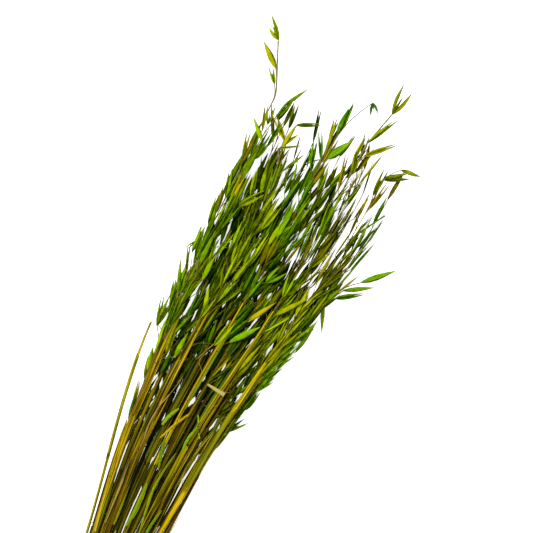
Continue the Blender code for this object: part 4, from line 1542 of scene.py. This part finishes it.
def chooseShape(spikelet, length, rng):  # the kind whose fork is most like the wanted one
    opening = spikelet["open"] / length
    second = 1 - abs(spikelet["stagger"]) / length
    isOver = rng.random() < shapes["overShare"]
    isOver = isOver and opening < shapes["overMost"] and second > shapes["overSecond"]

    def unlike(number):
        kind = shapes["kinds"][number]
        parted = abs(kind["opening"] - opening) * shapes["openingWeight"]
        return parted + abs(kind["second"] - second)

    fitting = [number for number, kind in enumerate(shapes["kinds"]) if kind["over"] == isOver]
    return min(fitting, key=unlike)


def chooseHue(upper, rng):  # above 0 golden, below 0 blue-green
    if rng.random() < heads["blueShare"]:
        return -rng.uniform(*heads["hueSize"])
    isGolden = rng.random() < mix(*heads["goldShare"], upper)
    return rng.uniform(*heads["hueSize"]) if isGolden else 0.0


def addSpikelet(paths, spikelet, oat, rng):
    isLeaf = spikelet["isLeader"] and oat["where"] == heads["cutLeaf"]
    neck, tip, side = spikelet["neck"], spikelet["tip"], spikelet["side"]
    if isLeaf:
        neck = placed(heads["cutLeafStart"], neck.z)
    aim = tip - neck
    if spikelet["stagger"] < 0:  # the other husk is the longer one
        aim *= 1 - spikelet["stagger"] / aim.length
        side = -side
    length = aim.length
    middle = neck.lerp(tip, 0.5)
    upper = ramp(*heads["upper"], neck.x)
    tint = heads["tint"] + rng.gauss(0, heads["tintSpread"]) + heads["upperTint"] * upper
    hue = chooseHue(upper, rng)
    # painted shade: darker inside the bundle and in the inner fill layer, and lighter or darker along the
    # heads
    bright = rng.uniform(*heads["bright"]) * outwardShade(middle, True) * spikelet["shade"]
    bright *= np.interp(middle.x, *zip(*heads["lightAndShadeAlong"]))
    slim = np.interp(middle.x, *zip(*heads["slim"]))
    width = spikelet["width"] / (2 * shapes["halfWidth"]) * slim
    if isInParting(middle):
        width *= fill["partedSlim"]
    shape = chooseShape(spikelet, length, rng)
    if isLeaf:
        hue, bright = heads["cutLeafLook"]
        shape = len(shapes["kinds"])
    elif spikelet["look"]:
        tint, hue, wide = spikelet["look"]
        width *= wide
        bright = heads["lookBright"]
        aim *= heads["lookLength"]
    paths.add(
        [neck - aim * heads["overlap"]],
        isSpikelet=True,
        aim=[aim],
        side=[side],
        size=[Vector((length * (1 + heads["overlap"]), width, width))],
        shape=shape,
        tint=tint,
        hue=hue,
        bright=bright,
        **outwardValues([middle], True),
    )
    addTwig(paths, spikelet, neck, oat)
    if rng.random() < heads["awnShare"]:
        addAwn(paths, neck, aim, side, rng)


def addTwig(paths, spikelet, neck, oat):
    root = spikelet["root"]
    ahead = (headPoint(oat, root.x + head["lookAhead"]) - root).normalized()
    radius = heads["sprayTwigRadius"] if spikelet["isSpray"] else heads["twigRadius"]
    paths.add(twigPath(root, neck, ahead), thick=radius, pale=float(spikelet["isSpray"]))


def addAwn(paths, neck, aim, side, rng):  # a bristle at a spikelet's tip
    way = aim.normalized() * rng.uniform(*heads["awnLength"])
    aside = side * way.length
    start = neck + aim * heads["awnRoot"]
    points = [start + way * along + aside * bend for along, bend, _ in heads["awnShape"]]
    thick = [heads["awnRadius"] * share for _, _, share in heads["awnShape"]]
    paths.add(points, thick=thick, pale=heads["awnPale"])


def addStalk(paths, oat):
    full, fine, bare = heads["stalkShare"]
    places = [*np.arange(oat["start"], oat["end"], heads["stalkStep"]), oat["end"]]
    thick, pale = [], []
    for x in places:
        inside = ramp(oat["start"], oat["start"] + heads["stalkThins"], x)
        outside = ramp(*heads["bareStalk"], x)
        thick.append(headRadius(oat, x) * mix(mix(full, fine, inside), bare, outside))
        pale.append(max(heads["basePale"] * (1 - inside), outside))
    paths.add([headPoint(oat, x) for x in places], thick=thick, pale=pale)


def buildHead(name, oat, spikelets, group, shapeSet, finishes, rng):
    paths = Paths()
    addStalk(paths, oat)
    for spikelet in spikelets:
        addSpikelet(paths, spikelet, oat, rng)
    thing = paths.build("fine_" + name, headValues)
    applyTree(thing, group, {
        "Spikelet shapes": shapeSet,
        "Husk": finishes[slotOf[name]],
        "Twig": finishes["twig"],
    })
    handOver(thing, name, heads["crease"])
    return len(thing.data.polygons)


# Straws: a culm with its node ring, a wrapped leaf sheath with a torn top, and dry leaf strips

straws = {
    "sides": 10,
    "step": 0.009,
    "sheathWall": 0.10,  # share of the radius
    "sheathOver": 1.12,  # how much wider than the culm it lies
    "sheathSkin": 0.0001,
    "sheathSteps": 16,
    "sheathColumns": 10,
    "sheathLength": (0.060, 0.125),
    "sheathOpen": 34,  # degrees of its open seam
    "sheathTint": (0.20, 0.90),
    "sheathBright": (0.60, 1.20),
    "sheathGreen": (0.0, 0.6),
    "greenShare": 0.15,
    "flare": 0.10,
    "flareFrom": 0.6,
    "tear": 0.012,
    "tearNoise": 2.6,
    "tearMiddle": 0.45,
    "tearGain": 4.0,
    "tearAhead": 0.002,
    "tornLength": 0.022,
    "aboveNode": 0.002,
    "belowHead": 0.015,
    "lowSheathFrom": (0.002, 0.010),  # from the cut end
    "lowSheathTo": (0.06, 0.12),
    "belowNode": 0.020,
    # Rings at a node: how far from it, how swollen and how dark
    "nodeRings": (
        (-0.0045, 1.0, 0.0),
        (-0.0020, 1.12, 0.55),
        (0.0, 1.22, 1.0),
        (0.0020, 1.14, 0.55),
        (0.0045, 1.0, 0.0),
    ),
    "nodeClear": 0.006,
    "bright": (0.70, 1.28),
    "tint": (0.05, 0.95),
    "curlShare": 0.5,
    "curlFrom": 0.10,
    "curlBelowHead": 0.02,
    "curlLean": ((-0.5, 0.5), (0.0, 0.4)),  # to the sides and up
    "curlLength": (0.012, 0.03),
    "curlRadius": 0.002,
    "curlTurns": 1.4,
    "curlSteps": 16,
    "curlThick": (0.00028, 0.00014),
    "curlTint": (0.4, 0.9),
    "crease": 50,
    "hollow": 0.62,
    "hollowDepth": 0.006,
    "hollowNear": 0.0008,
}
# The kind of each value that a straw's points carry
strawValues = {
    "part": "INT",
    **dict.fromkeys(("aim", "out"), "FLOAT_VECTOR"),
    **dict.fromkeys(("thick", "tilt", "torn", "ring", "tint", "green", "pale"), "FLOAT"),
    **dict.fromkeys(("bright", "free"), "FLOAT"),
}
strawParts = {"culm": 0, "sheath": 1, "strip": 2, "thread": 3}

# Dry leaf pieces that lie along the straws; how many a straw has is drawn from "counts"
leaves = {
    "shreds": {
        "counts": (5,), "halfWidth": (0.0003, 0.0012), "length": (0.03, 0.10), "spread": 0.0016,
        "from": 0.05, "past": 0.0, "up": (-0.6, 1.0), "bright": (0.35, 1.2), "green": (0.0, 0.0),
    },
    "blades": {
        "counts": (0, 1, 1, 2), "halfWidth": (0.0009, 0.0018), "length": (0.05, 0.11), "spread": 0.0022,
        "from": 0.12, "past": 0.03, "up": (-0.6, 1.0), "bright": (0.35, 1.2), "green": (0.2, 1.0),
    },
    "backs": {
        "counts": (1, 2), "halfWidth": (0.0012, 0.0021), "length": (0.05, 0.09), "spread": 0.0010,
        "from": 0.18, "past": 0.09, "up": (-0.8, -0.1), "bright": (0.25, 0.60), "green": (0.2, 0.9),
    },
    # dark strips under the straws, their darkness painted shade between the straws
    "shadeStrips": {
        "counts": (2, 2, 3), "halfWidth": (0.0009, 0.0019), "length": (0.03, 0.08), "spread": 0.0008,
        "from": 0.06, "past": 0.06, "up": (-0.8, -0.1), "bright": (0.10, 0.38), "green": (0.1, 0.9),
    },
}
leafShape = {
    "steps": 14,
    "twist": 2.5,
    "tint": (0.2, 0.9),
    "belowHead": 0.10,  # none starts nearer to the head than this, but for "past"
    "leastFurthest": 0.06,
    "leastRange": 0.04,
    "clear": 1.25,  # of the straw's radius
    "spreadPower": 1.4,
    "widthPower": 0.6,
    "widthFrom": 0.12,
    "widthTo": 0.995,
    "edge": 0.0001,
}


def makeStrawTree():
    group, tree, given = newGeometryTree("oatStraw", {
        "Sides": ("NodeSocketInt", straws["sides"]),
        "Tear": ("NodeSocketFloat", straws["tear"]),
        "Sheath profile": ("NodeSocketObject", None),
        "Strip profile": ("NodeSocketObject", None),
        "Straw": ("NodeSocketMaterial", None),
        "Thread": ("NodeSocketMaterial", None),
    })
    points = given.of("Geometry")
    swept = {}
    for part, profile, finish in (
        ("culm", circle(tree, given.of("Sides")), "Straw"),
        ("sheath", outline(tree, given.of("Sheath profile")), "Straw"),
        ("strip", outline(tree, given.of("Strip profile")), "Straw"),
        ("thread", circle(tree, 4), "Thread"),
    ):
        swept[part] = sweep(tree, pathsOf(tree, points, strawParts[part]), profile, given.of(finish))
    noise = tree.noise(tree.named("FLOAT_VECTOR", "ringPlace"), straws["tearNoise"], 3.0)
    torn = tree.named("FLOAT", "torn") * straws["tearGain"]
    reach = (noise - straws["tearMiddle"]) * given.of("Tear") * torn
    inputs = {"Vector": tree.named("FLOAT_VECTOR", "aim"), "Scale": reach}
    shift = tree.node("ShaderNodeVectorMath", {"operation": "SCALE"}, inputs)
    inputs = {"Geometry": swept["sheath"], "Offset": shift}
    swept["sheath"] = tree.node("GeometryNodeSetPosition", None, inputs)
    closeTree(tree, swept.values())
    return group


def profileObject(name, points):
    count = len(points)
    mesh = bpy.data.meshes.new(name)
    mesh.from_pydata([(x, y, 0) for x, y in points], [(i, (i + 1) % count) for i in range(count)], [])
    return newObject(name, mesh)


def sheathProfile():  # an open ring with a thin wall
    outer, inner = [], []
    seam = straws["sheathOpen"] / 2
    inside = 1 - straws["sheathWall"]
    for index in range(straws["sheathColumns"] + 1):
        turn = math.radians(mix(seam, 360 - seam, index / straws["sheathColumns"]))
        outer.append((math.cos(turn), math.sin(turn)))
        inner.append((math.cos(turn) * inside, math.sin(turn) * inside))
    return profileObject("sheathProfile", outer + inner[::-1])


def stripProfile():  # a flat leaf with a slight fold along its middle
    top = [(1, 0), (0.5, 0.16), (0, 0.06), (-0.5, 0.16), (-1, 0)]
    return profileObject("stripProfile", top + [(-0.5, 0.02), (0, -0.10), (0.5, 0.02)])


def strawNode(oat):
    return mix(*bundle["nodePlace"], oat["phase"] / math.tau)


def culmPath(oat):
    node = strawNode(oat)
    places = [*np.arange(oat["cut"], oat["start"] - mm, straws["step"]), oat["start"] - bundle["gap"]]
    rings = [(x, 1.0, 0.0) for x in places if abs(x - node) > straws["nodeClear"]]
    rings += [(node + offset, swell, dark) for offset, swell, dark in straws["nodeRings"]]
    rings.sort()
    points = [strawPoint(oat, x) for x, _, _ in rings]
    radii = [strawRadius(oat, x) * swell for x, swell, _ in rings]
    return points, radii, [dark for _, _, dark in rings]


def addSheath(paths, oat, low, high, rng):
    count = straws["sheathSteps"]
    places = np.linspace(low, high, count)
    points = [strawPoint(oat, x) for x in places]
    flareLow = mix(low, high, straws["flareFrom"])
    thick = []
    for x in places:
        flare = 1 + straws["flare"] * ramp(flareLow, high, x)
        thick.append(strawRadius(oat, x) * straws["sheathOver"] * flare + straws["sheathSkin"])
    tilt = rng.uniform(0, math.tau)
    tint = rng.uniform(*straws["sheathTint"])
    green = rng.uniform(*straws["sheathGreen"]) if rng.random() < straws["greenShare"] else 0.0
    own = rng.uniform(*straws["sheathBright"])
    ahead = straws["tearAhead"]
    paths.add(
        points,
        part=strawParts["sheath"],
        thick=thick,
        torn=[ramp(high - straws["tornLength"], high, x) for x in places],
        aim=[(strawPoint(oat, x + ahead) - strawPoint(oat, x)).normalized() for x in places],
        tilt=[tilt] * count,
        tint=tint,
        green=green,
        bright=own * outwardShade(strawPoint(oat, (low + high) / 2), False),
        **outwardValues(points, False),
    )


def addLeaf(paths, oat, kind, rng):
    furthest = max(oat["start"] - leafShape["belowHead"], leafShape["leastFurthest"])
    furthest = max(furthest + kind["past"], kind["from"] + leafShape["leastRange"])
    halfWidth, length = rng.uniform(*kind["halfWidth"]), rng.uniform(*kind["length"])
    start = mix(kind["from"], furthest, rng.random())
    away = rng.uniform(-1, 1)
    up = rng.uniform(*kind["up"])
    turn = rng.uniform(0, math.tau)
    twist = rng.uniform(-leafShape["twist"], leafShape["twist"])
    count = leafShape["steps"]
    points, thick, tilt = [], [], []
    for index in range(count):
        share = index / (count - 1)
        x = start + length * share
        clear = strawRadius(oat, x) * leafShape["clear"]
        clear += kind["spread"] * share ** leafShape["spreadPower"]
        points.append(strawPoint(oat, x) + Vector((0, away * clear, up * clear)))
        fatness = math.sin(math.pi * min(mix(leafShape["widthFrom"], 1.0, share), leafShape["widthTo"]))
        thick.append(halfWidth * fatness ** leafShape["widthPower"] + leafShape["edge"])
        tilt.append(turn + twist * share)
    bright = rng.uniform(*kind["bright"]) * outwardShade(points[count // 2], False)
    green = rng.uniform(*kind["green"])
    tint = rng.uniform(*leafShape["tint"])
    paths.add(points, part=strawParts["strip"], thick=thick, tilt=tilt, green=green, tint=tint,
              bright=bright, **outwardValues(points, False))


def addCurl(paths, start, aim, length, radius, turns, rng):  # a hair-thin thread that curls as it dries
    side = aim.cross(Vector((0, 0, 1))).normalized()
    up = side.cross(aim)
    count = straws["curlSteps"]
    shares = [index / (count - 1) for index in range(count)]
    points = []
    for share in shares:
        swing = radius * share * 2
        angle = math.tau * turns * share
        sway = side * math.sin(angle) * swing + up * (1 - math.cos(angle)) * swing * 0.5
        points.append(start + aim * length * share + sway)
    thick = [mix(*straws["curlThick"], share) for share in shares]
    tint = rng.uniform(*straws["curlTint"])
    paths.add(points, part=strawParts["thread"], thick=thick, tint=tint, bright=1.0)


# Single leaf pieces: the straw that holds each, its places in mm, its half width where it is widest, and
# how green, how pale and how bright it is; the darker ones on the lower rows are painted shade. They lie
# just above that straw's row
scraps = {
    "pieces": (
        ((4, 3), ((145, 21), (184, 23), (201, 24.5), (220, 21.7), (238, 23.5), (257, 22)),
         1.2, 0.0, 0.5, 1.0),
        ((4, 3), ((257, 22), (275, 17), (299, 13), (315, 7), (344, -6)), 0.7, 0.0, 0.6, 1.0),
        ((4, 2), ((232, 10), (246, 4), (262, -4)), 1.2, 0.0, 0.0, 1.3),
        ((4, 2), ((208, 0), (220, 3), (234, 6)), 1.6, 0.9, 0.0, 1.1),
        ((4, 2), ((150, 4), (168, 2), (192, 3)), 2.0, 0.8, 0.0, 1.3),
        ((4, 3), ((243, 13), (252, 11), (262, 6)), 1.6, 0.8, 0.0, 1.7),
        ((4, 1), ((246, -21), (254, -16), (264, -11)), 1.3, 0.9, 0.1, 1.8),
        ((4, 1), ((230, -12), (242, -12), (254, -15)), 1.3, 0.9, 0.0, 1.6),
        ((4, 1), ((150, -9), (170, -6), (189, -4), (207, -5), (226, -8)), 1.1, 0.6, 0.0, 1.5),
        ((4, 1), ((140, -14), (158, -15), (176, -18)), 1.3, 0.9, 0.0, 1.2),
        ((2, 4), ((140, 11), (175, 11.5), (216, 13)), 1.9, 0.6, 0.0, 0.3),
        ((2, 3), ((138, -1), (170, -0.5), (206, 0)), 1.6, 0.5, 0.0, 0.3),
        ((2, 3), ((185, 5.5), (205, 5.5), (228, 5)), 1.8, 0.7, 0.0, 0.35),
        ((2, 4), ((210, 14), (238, 13)), 1.5, 0.8, 0.0, 0.5),
        ((2, 1), ((196, -20), (222, -23), (250, -26)), 1.8, 0.4, 0.0, 0.7),
        ((3, 1), ((205, -22), (228, -22.5), (256, -29)), 1.0, 0.0, 0.2, 1.1),
        ((1, 1), ((150, -15), (185, -17), (214, -19)), 1.8, 0.7, 0.0, 0.4),
        ((1, 1), ((165, -25), (200, -30), (230, -33)), 1.5, 0.2, 0.0, 0.9),
        ((2, 3), ((206, -0.5), (231, -0.3), (256, -0.5)), 1.5, 0.3, 0.0, 0.6),
        ((1, 1), ((246, -29), (266, -29.5), (286, -30)), 2.2, 0.6, 0.0, 0.5),
        ((4, 2), ((291, -7), (290, -15), (289, -24)), 2.1, 0.0, 0.9, 0.95),
    ),
    "cutWidths": (0.45, 0.75, 1.0),  # the last one is a cut straw, which widens to its end
    "cutPale": 0.8,  # only the cut straw is paler than this
    "cutTilt": 0.2,
    "lift": 0.0026,  # how high they lie above the middle of the straw's row
    "steps": 24,
    "ends": (0.06, 0.97),
    "widthPower": 0.6,
    "flutter": 0.4,
    "twist": 3.0,  # the pale ones are twisted
    "tint": 0.75,
    "brokenCurl": {"length": 0.010, "radius": 0.0035, "turns": 1.2, "aimLength": 0.01},
}


def addBrokenCurl(paths, oat, rng):  # the thread at the end of the broken straw
    curl = scraps["brokenCurl"]
    end = strawPoint(oat, oat["start"])
    aim = (end - strawPoint(oat, oat["start"] - curl["aimLength"])).normalized()
    addCurl(paths, end - aim * mm, aim, curl["length"], curl["radius"], curl["turns"], rng)


def addScrap(paths, owner, places, widest, green, pale, bright, rng):
    rowStraw = {**midStraw, "row": owner[0]}
    heights = [strawPoint(rowStraw, x * mm).z + scraps["lift"] for x, _ in places]
    marks = [placed(place, height) for place, height in zip(places, heights)]
    if pale > scraps["cutPale"]:
        path = marks
        thick = [widest * mm * share for share in scraps["cutWidths"]]
        tilt = [scraps["cutTilt"]] * len(path)
    else:
        path = smoothPath(marks, scraps["steps"])
        shares = [index / (len(path) - 1) for index in range(len(path))]
        fatness = [math.sin(math.pi * mix(*scraps["ends"], share)) for share in shares]
        thick = [widest * mm * size ** scraps["widthPower"] for size in fatness]
        twist = scraps["twist"] if pale > 0 else 0.0
        tilt = [rng.uniform(-scraps["flutter"], scraps["flutter"]) + twist * share for share in shares]
    paths.add(path, part=strawParts["strip"], thick=thick, tilt=tilt, green=green, pale=pale,
              tint=scraps["tint"], bright=bright, out=[Vector((0, 0, 1))] * len(path))


def addCulm(paths, oat, rng):
    points, radii, rings = culmPath(oat)
    own = rng.uniform(*straws["bright"])
    tint = rng.uniform(*straws["tint"])
    bright = [own * outwardShade(point, False) for point in points]
    paths.add(points, part=strawParts["culm"], thick=radii, ring=rings, tint=tint, bright=bright,
              tilt=[oat["phase"]] * len(points), **outwardValues(points, False))


def addSheaths(paths, oat, rng):  # one above the straw's node and one near its cut end
    node = strawNode(oat)
    top = min(node + rng.uniform(*straws["sheathLength"]), oat["start"] - straws["belowHead"])
    addSheath(paths, oat, node + straws["aboveNode"], top, rng)
    low = oat["cut"] + rng.uniform(*straws["lowSheathFrom"])
    high = min(node - straws["belowNode"], rng.uniform(*straws["lowSheathTo"]))
    addSheath(paths, oat, low, high, rng)


def addLooseCurl(paths, oat, rng):
    x = rng.uniform(straws["curlFrom"], oat["start"] - straws["curlBelowHead"])
    aside, up = straws["curlLean"]
    aim = Vector((1, rng.uniform(*aside), rng.uniform(*up))).normalized()
    length = rng.uniform(*straws["curlLength"])
    addCurl(paths, strawPoint(oat, x), aim, length, straws["curlRadius"], straws["curlTurns"], rng)


def buildStraw(name, oat, group, profiles, finishes, rng):
    paths = Paths()
    addCulm(paths, oat, rng)
    addSheaths(paths, oat, rng)
    for kind in leaves.values() if oat["hasHead"] else ():
        for _ in range(rng.choice(kind["counts"])):
            addLeaf(paths, oat, kind, rng)
    if rng.random() < straws["curlShare"]:
        addLooseCurl(paths, oat, rng)
    if oat["where"] == brokenStraw:
        addBrokenCurl(paths, oat, rng)
    for owner, *scrap in scraps["pieces"]:
        if owner == oat["where"]:
            addScrap(paths, owner, *scrap, rng)
    thing = paths.build("fine_" + name, strawValues)
    applyTree(thing, group, {
        "Sheath profile": profiles[0],
        "Strip profile": profiles[1],
        "Straw": finishes[slotOf[name]],
        "Thread": finishes["thread"],
    })
    hollowCut(thing.data, tiePlace.x + oat["cut"])
    handOver(thing, name, straws["crease"])
    return len(thing.data.polygons)


def hollowCut(mesh, cutX):  # sinks the middle of the cut end, as a straw is hollow
    shape = bmesh.new()
    shape.from_mesh(mesh)
    wall = bundle["strawRadius"] * (1 - straws["hollow"])
    ends = [
        face for face in shape.faces
        if len(face.verts) == straws["sides"]
        and abs(face.calc_center_median().x - cutX) < straws["hollowNear"]
    ]
    for face in ends:
        bmesh.ops.inset_region(shape, faces=[face], thickness=wall)
        pushed = bmesh.ops.extrude_discrete_faces(shape, faces=[face])["faces"]
        bmesh.ops.translate(shape, verts=pushed[0].verts, vec=(straws["hollowDepth"], 0, 0))
    shape.to_mesh(mesh)
    shape.free()


# Twine round the tied straws

def tiePoint(turn, offset):  # a flat six-sided loop with round corners
    corners = ((3, 0), (2, 2), (-2, 2), (-3, 0), (-2, -2), (2, -2))
    middle = bundle["firstRow"] + 2 * bundle["rowPitch"]
    place = turn % 1 * len(corners)
    number = int(place) % len(corners)
    share = place - int(place)
    here, after = corners[number], corners[(number + 1) % len(corners)]
    rounded = ramp(0.0, twine["corner"], share)
    way = math.radians(60 * number - 30 + 60 * rounded)
    run = max(share - twine["corner"], 0.0) / (1 - twine["corner"])
    y = mix(here[0], after[0], run) * bundle["pitch"] + offset * math.cos(way)
    z = middle + mix(here[1], after[1], run) * bundle["rowPitch"] + offset * math.sin(way)
    return y, z


def makeTwineTree():
    group, tree, given = newGeometryTree("tiedTwine", {
        "Twine profile": ("NodeSocketObject", None),
        "Hair sides": ("NodeSocketInt", twine["hairSides"]),
        "Finish": ("NodeSocketMaterial", None),
    })
    cordPaths, hairPaths = (pathsOf(tree, given.of("Geometry"), part) for part in twineParts.values())
    cords = sweep(tree, cordPaths, outline(tree, given.of("Twine profile")), given.of("Finish"))
    hairs = sweep(tree, hairPaths, circle(tree, given.of("Hair sides")), given.of("Finish"))
    closeTree(tree, [cords, hairs])
    return group


def twineProfile():  # three strands twisted together, cut across
    points = []
    for index in range(twine["profileSteps"]):
        turn = math.tau * index / twine["profileSteps"]
        size = 1 + twine["lobeDepth"] * math.cos(twine["lobes"] * turn)
        points.append((math.cos(turn) * size, math.sin(turn) * size))
    return profileObject("twineProfile", points)


def wrapPath():  # side by side turns round the straws
    radius = twine["radius"]
    offset = bundle["strawRadius"] + bundle["gap"] + radius
    half = bundle["tieHalf"] - radius
    path = []
    for turn in np.linspace(0, twine["turns"], twine["turns"] * twine["turnSteps"]):
        x = mix(-half, half, turn / twine["turns"])
        path.append(Vector((x, *tiePoint(turn + twine["firstTurn"], offset))))
    return path


def knotPath(top):  # an overhand knot, drawn tight
    wide, tall, deep = twine["knotShape"]
    size = twine["knotSize"]
    path = []
    for index in range(twine["knotSteps"] + 1):
        turn = math.tau * index / twine["knotSteps"]
        path.append(Vector((
            (math.sin(turn) + 2 * math.sin(2 * turn)) * size * wide,
            (math.cos(turn) - 2 * math.cos(2 * turn)) * size * tall,
            top + twine["knotRise"] - math.sin(3 * turn) * size * deep,
        )))
    return path


def loosePath(side, top):
    ends = twine["looseEnd"]
    marks = [placed((side * forward, side * out), top + up * mm) for forward, out, up in ends]
    return smoothPath(marks, twine["looseSteps"])


def addCord(paths, cord):  # its tilt twists the three strands along it
    walked = 0.0
    tilt = []
    for here, after in zip(cord, cord[1:] + cord[-1:]):
        tilt.append(math.tau * walked / twine["twist"])
        walked += (after - here).length
    thick = twine["radius"] / (1 + twine["lobeDepth"] * 0.5)
    paths.add(cord, part=twineParts["cord"], thick=thick, tilt=tilt)


def addHairs(paths, cord, rng):
    low, middle = twine["hairMarks"]
    for _ in range(len(cord) // twine["hairEvery"]):
        root = cord[rng.randrange(len(cord))]
        way = Vector((rng.uniform(-1, 1), rng.uniform(-1, 1), rng.uniform(*twine["hairUp"]))).normalized()
        reach = rng.uniform(*twine["hairLength"])
        bend = Vector((rng.uniform(-1, 1), rng.uniform(-1, 1), 0)) * twine["hairBend"]
        if root.z + way.z * reach > mm:
            inside = root + way * (twine["radius"] * low)
            hair = [inside, root + way * (reach * middle) + bend, root + way * reach]
            paths.add(hair, part=twineParts["hair"], thick=twine["hairThick"])


def buildTwine(finish):
    rng = random.Random(twine["seed"])
    wrap = wrapPath()
    top = max(point.z for point in wrap)
    paths = Paths()
    for cord in (wrap, knotPath(top), loosePath(1, top), loosePath(-1, top)):
        addCord(paths, cord)
        addHairs(paths, cord, rng)
    thing = paths.build("twine_tie", twineValues)
    profile = twineProfile()
    applyTree(thing, makeTwineTree(), {"Twine profile": profile, "Finish": finish})
    bpy.data.objects.remove(profile)
    handOver(thing, "tie")


def smoothPath(marks, count):  # a smooth curve through a few marks
    path = []
    for index in range(count + 1):
        place = index / count * (len(marks) - 1)
        number = min(int(place), len(marks) - 2)
        share = place - number
        before = marks[max(number - 1, 0)]
        here, after = marks[number], marks[number + 1]
        beyond = marks[min(number + 2, len(marks) - 1)]
        path.append(0.5 * (
            2 * here
            + (after - before) * share
            + (2 * before - 5 * here + 4 * after - beyond) * share ** 2
            + (3 * here - before - 3 * after + beyond) * share ** 3
        ))
    return path


# Floor, light and camera

stage = {
    "floorSize": 12.0,
    "floorColour": (0.90, 0.90, 0.90),
    "floorGlow": 0.85,  # the floor is lit from below a little, like a light table
    "floorRoughness": 0.9,
    "floorSpecular": 0.1,
    "floorDrop": 0.0004,
    "frameWidth": 0.4584,  # what the picture's width covers at the bundle's middle height
    "middleHeight": 0.030,
    "cameraHeight": 2.5,
    "aim": (0.4031, -0.0092),
    "turn": -64.5,
    "sensor": 36.0,
    "sky": 0.06,
    "key": {"place": (0.10, 0.42, 2.5), "size": 0.4, "watts": 66},
    "top": {"place": (0.0, 0.0, 2.9), "size": 1.8, "watts": 32},
}


def makeFloor():
    half = stage["floorSize"] / 2
    corners = [(-half, -half, 0), (half, -half, 0), (half, half, 0), (-half, half, 0)]
    mesh = bpy.data.meshes.new("floor")
    mesh.from_pydata(corners, [], [(0, 1, 2, 3)])
    material, tree = newMaterial("floor")
    shader = tree.node("ShaderNodeBsdfPrincipled", None, {
        "Base Color": (*stage["floorColour"], 1.0),
        "Roughness": stage["floorRoughness"],
        "Specular IOR Level": stage["floorSpecular"],
        "Emission Color": (1, 1, 1, 1),
        "Emission Strength": stage["floorGlow"],
    })
    tree.node("ShaderNodeOutputMaterial", None, {"Surface": shader})
    mesh.materials.append(material)
    floor = newObject("floor", mesh)
    floor.location = (0, 0, -stage["floorDrop"])


def addLight(name, aim):
    given = stage[name]
    lamp = bpy.data.lights.new(name, "AREA")
    lamp.shape = "DISK"
    lamp.size = given["size"]
    lamp.energy = given["watts"]
    thing = newObject(name, lamp)
    thing.location = aim + Vector(given["place"])
    thing.rotation_euler = (aim - thing.location).to_track_quat("-Z", "Y").to_euler()


def addCamera():
    lens = bpy.data.cameras.new("camera")
    lens.sensor_width = stage["sensor"]
    distance = stage["cameraHeight"] - stage["middleHeight"]
    lens.lens = stage["sensor"] * distance / stage["frameWidth"]
    lens.clip_end = 50
    camera = newObject("camera", lens)
    camera.location = tiePlace + Vector((*stage["aim"], stage["cameraHeight"]))
    camera.rotation_euler = (0, 0, math.radians(stage["turn"]))
    bpy.context.scene.camera = camera


def makeStage():
    makeFloor()
    world = bpy.data.worlds.new("studio")
    world.use_nodes = True
    background = world.node_tree.nodes["Background"]
    background.inputs["Color"].default_value = (1, 1, 1, 1)
    background.inputs["Strength"].default_value = stage["sky"]
    bpy.context.scene.world = world
    for name in ("key", "top"):
        addLight(name, tiePlace + Vector((*stage["aim"], stage["middleHeight"])))
    addCamera()
    bpy.context.scene.view_settings.view_transform = "Standard"
    print("stage made")


def plantSpikelets(oats):
    spikelets = placeSpikelets(oats)
    print("spikelets as in the solids:", len(spikelets))
    placeExtras(oats, spikelets)
    placeFill(oats, spikelets)
    print("spikelets in all:", len(spikelets))
    return spikelets


def makeFinishes():
    finishes = {slot: makeHusk(slot, look) for slot, look in huskLooks.items()}
    finishes |= {slot: makeStraw(slot, look) for slot, look in strawLooks.items()}
    finishes |= {name: makeThin(name) for name in ("twig", "thread")}
    finishes["twine"] = makeTwineFinish()
    return finishes


def build():
    rng = random.Random(bundle["looksSeed"])
    oats = planOats(random.Random(bundle["seed"]))
    spikelets = plantSpikelets(oats)
    finishes = makeFinishes()
    shapeSet = makeShapes()
    headTree = makeHeadTree()
    strawTree = makeStrawTree()
    profiles = (sheathProfile(), stripProfile())
    print("finishes and node trees made")
    faces = 0
    number = 0
    for index, oat in enumerate(oats):
        if not oat["hasHead"]:
            faces += buildStraw("broken_stem", oat, strawTree, profiles, finishes, rng)
            continue
        number += 1
        own = [spikelet for spikelet in spikelets if spikelet["head"] == index]
        faces += buildStraw(f"stem_{number:02d}", oat, strawTree, profiles, finishes, rng)
        faces += buildHead(f"head_{number:02d}", oat, own, headTree, shapeSet, finishes, rng)
    removeCollection(shapeSet)
    for profile in profiles:
        bpy.data.objects.remove(profile)
    print("straws and heads made, faces:", faces)
    buildTwine(finishes["twine"])
    print("tie made")


build()
makeStage()
